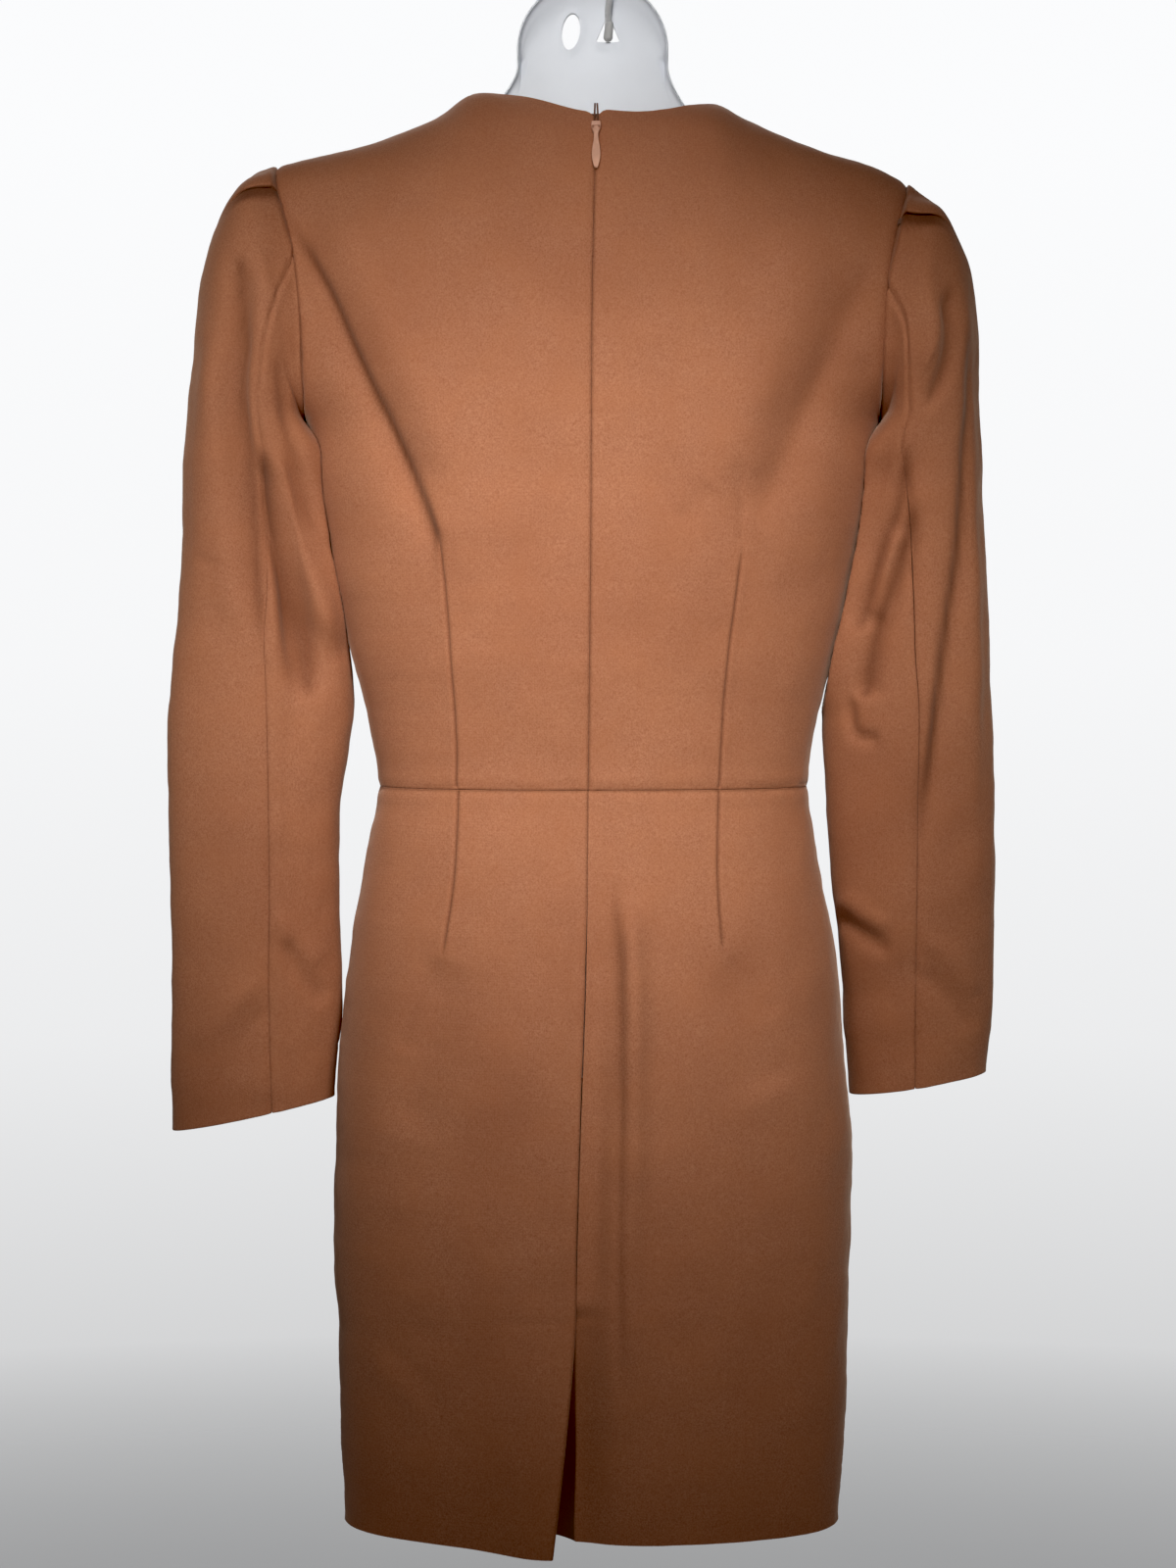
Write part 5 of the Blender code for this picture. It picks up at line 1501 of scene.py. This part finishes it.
OVAL_LIP, HOOK_LIP = 0.0009, 0.0010  # heights of the rolled lips round the two holes
LIP_AWAY, LIP_WIDE = 0.0014, 0.0011
LIP_OUTSIDE = 0.25  # share of a lip's height on the shell's outer face
RIM_THIN, RIM_REACH = 0.42, 0.012  # the shell's thickness at its rim as a share, and where it is whole again
WING_LEAN = 0.55  # how far the neck's sides lean forward for each metre past their inner line
WING_TOP, WING_FOOT = -0.108, -0.175
WING_FAR = 0.080  # where they end, short of the shoulders
WING_INNER = (0.0465, 0.28, -0.125)  # their inner line: its x, how fast it spreads upwards, from which height


def form_wings(x, z):
    """How far the neck's two sides lean forward below the tab, inside the dress's neck."""
    inner, spread, start = WING_INNER
    lean = np.maximum(np.abs(x) - inner + spread * np.maximum(z - start, -0.02), 0.0)
    high = ease((WING_TOP - z) / 0.004) * ease((z - WING_FOOT) / 0.02)
    return WING_LEAN * lean * high * ease((WING_FAR - np.abs(x)) / 0.018)


def build_form():
    cell = 2.2 * CELL
    near_neck = np.linspace(0, RIM_PARTS[2], int(0.16 / (cell / 2)))
    share = np.unique(np.concatenate([near_neck, np.linspace(RIM_PARTS[2], 1, int(0.14 / cell))]))
    rise = 1 - (1 - np.linspace(0, 1, int(0.7 / cell))) ** 1.15
    rise_grid = np.repeat(rise[:, None], len(share), 1)
    share_grid = np.repeat(share[None, :], len(rise), 0)
    right = form_points(-1, share_grid, rise_grid)[:, :0:-1]
    base = np.concatenate([right, form_points(1, share_grid, rise_grid)], 1)
    x, z = base[..., 0], base[..., 2]
    out = facing(base)
    if out[..., 1].sum() > 0:
        out = -out
    oval, triangle = oval_outline(), triangle_outline()
    lip = np.zeros(np.shape(x))
    for outline, height in ((oval, OVAL_LIP), (triangle, HOOK_LIP)):
        nearest, _, _ = beside_line(np.concatenate([outline, outline[:1]]), x, z)
        lip += height * bump(nearest - LIP_AWAY, LIP_WIDE)
    wings = form_wings(x, z)
    outer = base + out * (LIP_OUTSIDE * lip)[..., None]
    outer[..., 1] -= wings
    rim = edge_distance(base, 0, True)
    thick = SHELL * (RIM_THIN + (1 - RIM_THIN) * ease(rim / RIM_REACH))
    inner = base - out * (thick + lip)[..., None]
    inner[..., 1] -= wings
    sign = 1 if facing(base)[..., 1].sum() < 0 else -1
    form = wall("form_shell", outer, inner, sign, (FORM,))
    for name, outline in (("oval_cutter", oval), ("hook_cutter", triangle)):
        cutter = prism(name, outline, -0.04, 0.04)
        cut = form.modifiers.new(name, "BOOLEAN")
        cut.operation = "DIFFERENCE"
        cut.solver = "EXACT"
        cut.object = cutter
    bpy.context.view_layer.update()
    settle(form)
    for name in ("oval_cutter", "hook_cutter"):
        bpy.data.objects.remove(bpy.data.objects[name], do_unlink=True)
    form.data.set_sharp_from_angle(angle=math.radians(48))
    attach(form, "dress")
    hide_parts("torso_form")
    return form


def tube(name, points, radius, look, sides=20, radii=None):
    """A round tube along points, with rounded ends."""
    points = np.array(points, float)
    tangents = unit(np.gradient(points, axis=0))
    normal = np.cross(tangents[0], (0, 1, 0))
    if np.linalg.norm(normal) < 1e-3:
        normal = np.cross(tangents[0], (1, 0, 0))
    turn = np.linspace(0, 2 * math.pi, sides, endpoint=False)
    radii = np.full(len(points), radius) if radii is None else np.array(radii)
    rings = []
    for point, tangent, size in zip(points, tangents, radii):
        normal = unit(normal - tangent * (normal @ tangent))
        other = np.cross(tangent, normal)
        rings.append(point + size * (np.cos(turn)[:, None] * normal + np.sin(turn)[:, None] * other))
    verts = np.concatenate(rings)
    faces = []
    for i in range(len(points) - 1):
        for j in range(sides):
            k = (j + 1) % sides
            faces.append((i * sides + j, i * sides + k, (i + 1) * sides + k, (i + 1) * sides + j))
    faces.append(tuple(range(sides))[::-1])
    faces.append(tuple((len(points) - 1) * sides + j for j in range(sides)))
    mesh = bpy.data.meshes.new(name)
    mesh.from_pydata(verts.tolist(), [], faces)
    mesh.shade_smooth()
    mesh.materials.append(look)
    return placed(name, mesh)


def capped(points, radius, steps=6):
    """Points and radii of a tube whose ends close in half balls."""
    points = np.array(points, float)
    first, last = unit(points[0] - points[1]), unit(points[-1] - points[-2])
    turn = np.radians(np.linspace(84, 12, steps))
    lead = [points[0] + first * radius * math.sin(a) for a in turn]
    trail = [points[-1] + last * radius * math.sin(a) for a in turn[::-1]]
    narrowing = [radius * math.cos(a) for a in turn]
    return np.concatenate([lead, points, trail]), [*narrowing, *[radius] * len(points), *narrowing[::-1]]


PLUG_TALL = 0.0082
PLUG_ROUND = 0.0031
PLUG_TAPER = 0.22  # share of its radius that it loses towards the top
PLUG_FOOT = 0.0026  # height of its lower end's middle over the plug's underside


def build_hook():
    hole_x, hole_z = HOOK_HOLE
    plug_low = hole_z - HOOK_HOLE_SIZE[1] / 2 + PLUG_GAP
    plug_top = plug_low + PLUG_SIZE[2]
    points = [(hole_x + (SHANK_X - hole_x) * share, y, plug_top + up) for share, y, up in WIRE_FOOT]
    points += [(SHANK_X + aside, y, z) for aside, y, z in WIRE_SHANK]
    for turn in np.radians(np.linspace(*HOOK_TURN, 21)):
        points.append((HOOK_BEND * math.cos(turn), 0, WIRE - HOOK_BEND + HOOK_BEND * math.sin(turn)))
    line = smooth_line(points, 260)
    line, radii = capped(line, WIRE * 0.999)
    hook = tube("hook_wire", line, WIRE, STEEL, 24, radii)
    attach(hook, "dress")
    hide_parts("hook")
    low = np.array((hole_x, PLUG_Y + PLUG_SIZE[1] / 2, plug_low + PLUG_FOOT))
    up = np.linspace(0, PLUG_TALL, 9)[:, None] * np.array((SHANK_X - hole_x, 0, 1))
    up[:, 0] = (SHANK_X - hole_x) * ease(np.linspace(0, 1, 9))
    points, radii = capped(low + up, PLUG_ROUND)
    taper = 1 - PLUG_TAPER * ease(np.linspace(-0.2, 1, len(points)))
    plug = tube("plug_round", points, PLUG_ROUND, PLUG, 28, np.array(radii) * taper)
    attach(plug, "dress")
    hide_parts("hook_plug")


def softened(node_name, body, look, width):
    """A copy of a small hard part with its corners rounded off."""
    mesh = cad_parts[node_name].data.copy()
    mesh.materials.clear()
    mesh.materials.append(look)
    made = placed(node_name + "_smooth", mesh)
    corners = made.modifiers.new("round", "BEVEL")
    corners.width = width
    corners.segments = 3
    corners.limit_method = "ANGLE"
    corners.angle_limit = math.radians(40)
    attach(made, body)
    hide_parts(node_name)
    return made


# the zip's two tape ends, which stand up in the notch of the neck: aside, height
TAPE_END_LOW = -0.1620
TAPE_END_TOP = -0.1475
TAPE_END_ASIDE = 0.0013
TAPE_END_RADIUS = 0.00062
TAPE_END_SUNK = 0.0004


def build_zip():
    softened("zip_slider", "dress", ENAMEL, 0.00022)
    softened("zip_pull", "pull", ENAMEL, 0.00022)
    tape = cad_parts["zip_tape"]
    tape.data.materials.clear()
    tape.data.materials.append(TAPE)
    middle = float(centre_back(np.array(TAPE_END_LOW)))
    up = np.linspace(TAPE_END_LOW, TAPE_END_TOP, 12)
    away = np.full(up.shape, abs(middle))
    back = body_depth(1, away, up, shoulder_closing(1, away, up), True)
    for side, aside in (("left", 1), ("right", -1)):
        across = middle + aside * (TAPE_END_ASIDE - 0.04 * (up - TAPE_END_LOW))
        points, radii = capped(np.stack([across, back - TAPE_END_SUNK, up], -1), TAPE_END_RADIUS)
        made = tube(f"tape_end_{side}", points, TAPE_END_RADIUS, TAPE, 12, radii)
        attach(made, "dress")


# ---------------------------------------------------------------- stage, lights and camera


FLOOR_Z = HEM - 0.85  # the dress hangs from a hook about two metres up
FLOOR_RADIUS = 4.6
FLOOR_FADE = 1.8
FLOOR_GLOW = 0.14
AMBIENT = 0.048
BLACK_LEVEL = 0.012  # the least light that the picture shows
# height of the direction looked in, brightness of the backdrop's painted shade there
BACKGROUND = ((-0.34, 0.43), (-0.12, 0.85), (0.00, 0.94), (0.16, 0.98))
DAYLIGHT, COOL = (1.0, 0.985, 0.96), (0.97, 0.98, 1.0)
LENS = 71.8
CAMERA = (0.0031, 2.085, -0.508)
CAMERA_TILT = math.radians(2.28)


def build_stage():
    mesh = bpy.data.meshes.new("floor")
    steps = 96
    turn = np.linspace(0, 2 * math.pi, steps, endpoint=False)
    ring = [(FLOOR_RADIUS * math.cos(a), FLOOR_RADIUS * math.sin(a), 0) for a in turn]
    mesh.from_pydata(ring, [], [tuple(range(steps))])
    made, tree, shader = shader_graph("pale_floor", (0.78, 0.79, 0.80), 0.9)
    shader.inputs["Emission Color"].default_value = (*COOL, 1.0)
    shader.inputs["Emission Strength"].default_value = FLOOR_GLOW
    where = node(tree, "ShaderNodeTexCoord").outputs["Object"]
    length = node(tree, "ShaderNodeVectorMath", operation="LENGTH")
    tree.links.new(where, length.inputs[0])
    fade = ramp(tree, length.outputs["Value"], FLOOR_FADE, FLOOR_RADIUS - 0.1)
    mix_shaders(tree, fade, shader, node(tree, "ShaderNodeBsdfTransparent"), "Material Output")
    mesh.materials.append(made)
    floor = placed("floor", mesh)
    floor.location.z = FLOOR_Z


def place_light(name, kind, place, target, power, colour):
    data = bpy.data.lights.new(name, kind)
    data.energy = power
    data.color = colour
    made = placed(name, data)
    made.location = place
    made.rotation_euler = (Vector(target) - Vector(place)).to_track_quat("-Z", "Y").to_euler()
    return data


def lamp(name, place, target, size, power, colour=(1, 1, 1)):
    data = place_light(name, "AREA", place, target, power, colour)
    data.shape = "RECTANGLE"
    data.size, data.size_y = size


def spot(name, place, target, radius, half_angle, power, colour=(1, 1, 1)):
    data = place_light(name, "SPOT", place, target, power, colour)
    data.shadow_soft_size = radius
    data.spot_size = 2 * math.radians(half_angle)
    data.spot_blend = 1.0


def build_world():
    """A dim room to light by, and a pale wall behind with painted shade that darkens it downwards."""
    world = bpy.data.worlds.new("studio")
    bpy.context.scene.world = world
    world.use_nodes = True
    tree = world.node_tree
    back = tree.nodes["Background"]
    back.inputs["Color"].default_value = (*COOL, 1)
    back.inputs["Strength"].default_value = AMBIENT
    seen = node(tree, "ShaderNodeBackground")
    path = node(tree, "ShaderNodeLightPath")
    towards = node(tree, "ShaderNodeSeparateXYZ")
    tree.links.new(node(tree, "ShaderNodeTexCoord").outputs["Generated"], towards.inputs[0])
    # painted shade: the backdrop darkens downwards as if the lamps' light fell off there
    wall_tone = node(tree, "ShaderNodeValToRGB")
    low, high = BACKGROUND[0][0], BACKGROUND[-1][0]
    tree.links.new(ramp(tree, towards.outputs["Z"], low, high), wall_tone.inputs["Fac"])
    stops = wall_tone.color_ramp.elements
    while len(stops) < len(BACKGROUND):
        stops.new(0.5)
    for stop, (height, tone) in zip(stops, BACKGROUND):
        stop.position = (height - low) / (high - low)
        stop.color = (0.985 * tone, 0.99 * tone, tone, 1)
    tree.links.new(wall_tone.outputs["Color"], seen.inputs["Color"])
    mix_shaders(tree, path.outputs["Is Camera Ray"], back, seen, "World Output")


def build_light():
    build_world()
    spot("key", (-0.24, 1.36, 0.46), (-0.05, 0.08, -0.555), 0.14, 14.3, 101, DAYLIGHT)
    spot("second", (0.50, 1.62, -0.02), (0.19, 0.06, -0.40), 0.20, 14.5, 84, DAYLIGHT)
    spot("third", (-0.75, 1.50, 0.20), (-0.20, 0.05, -0.38), 0.20, 9, 11, DAYLIGHT)
    spot("hip", (-0.25, 1.50, -0.35), (-0.03, 0.08, -0.73), 0.16, 8.5, 15, DAYLIGHT)
    spot("top", (0.05, 1.20, 0.25), (0.0, 0.0, -0.085), 0.08, 5.5, 34, COOL)
    lamp("fill", (1.7, 1.2, 0.3), (0.0, 0.0, -0.6), (1.2, 1.6), 1.5)
    lamp("front", (0.3, -1.9, 0.9), (0.0, 0.0, -0.5), (1.6, 1.2), 22)
    tone = bpy.context.scene.view_settings
    tone.view_transform = "Standard"
    tone.use_curve_mapping = True
    tone.curve_mapping.black_level = (BLACK_LEVEL,) * 3
    tone.curve_mapping.update()


def build_camera():
    data = bpy.data.cameras.new("camera")
    data.sensor_width = 36
    data.lens = LENS
    camera = placed("camera", data)
    camera.location = CAMERA
    camera.rotation_euler = (math.pi / 2 - CAMERA_TILT, 0, math.pi)
    bpy.context.scene.camera = camera


build_camera()
build_bodice()
build_skirt()
build_sleeve("left", 1, LEFT_SLEEVE, LEFT_PLEATS, LEFT_SLEEVE_FOLDS, LEFT_SLEEVE_CREASES, LEFT_BACK_SEAM)
build_sleeve("right", -1, RIGHT_SLEEVE, RIGHT_PLEATS, RIGHT_SLEEVE_FOLDS, RIGHT_SLEEVE_CREASES,
             RIGHT_BACK_SEAM)
build_form()
build_hook()
build_zip()
build_stage()
build_light()
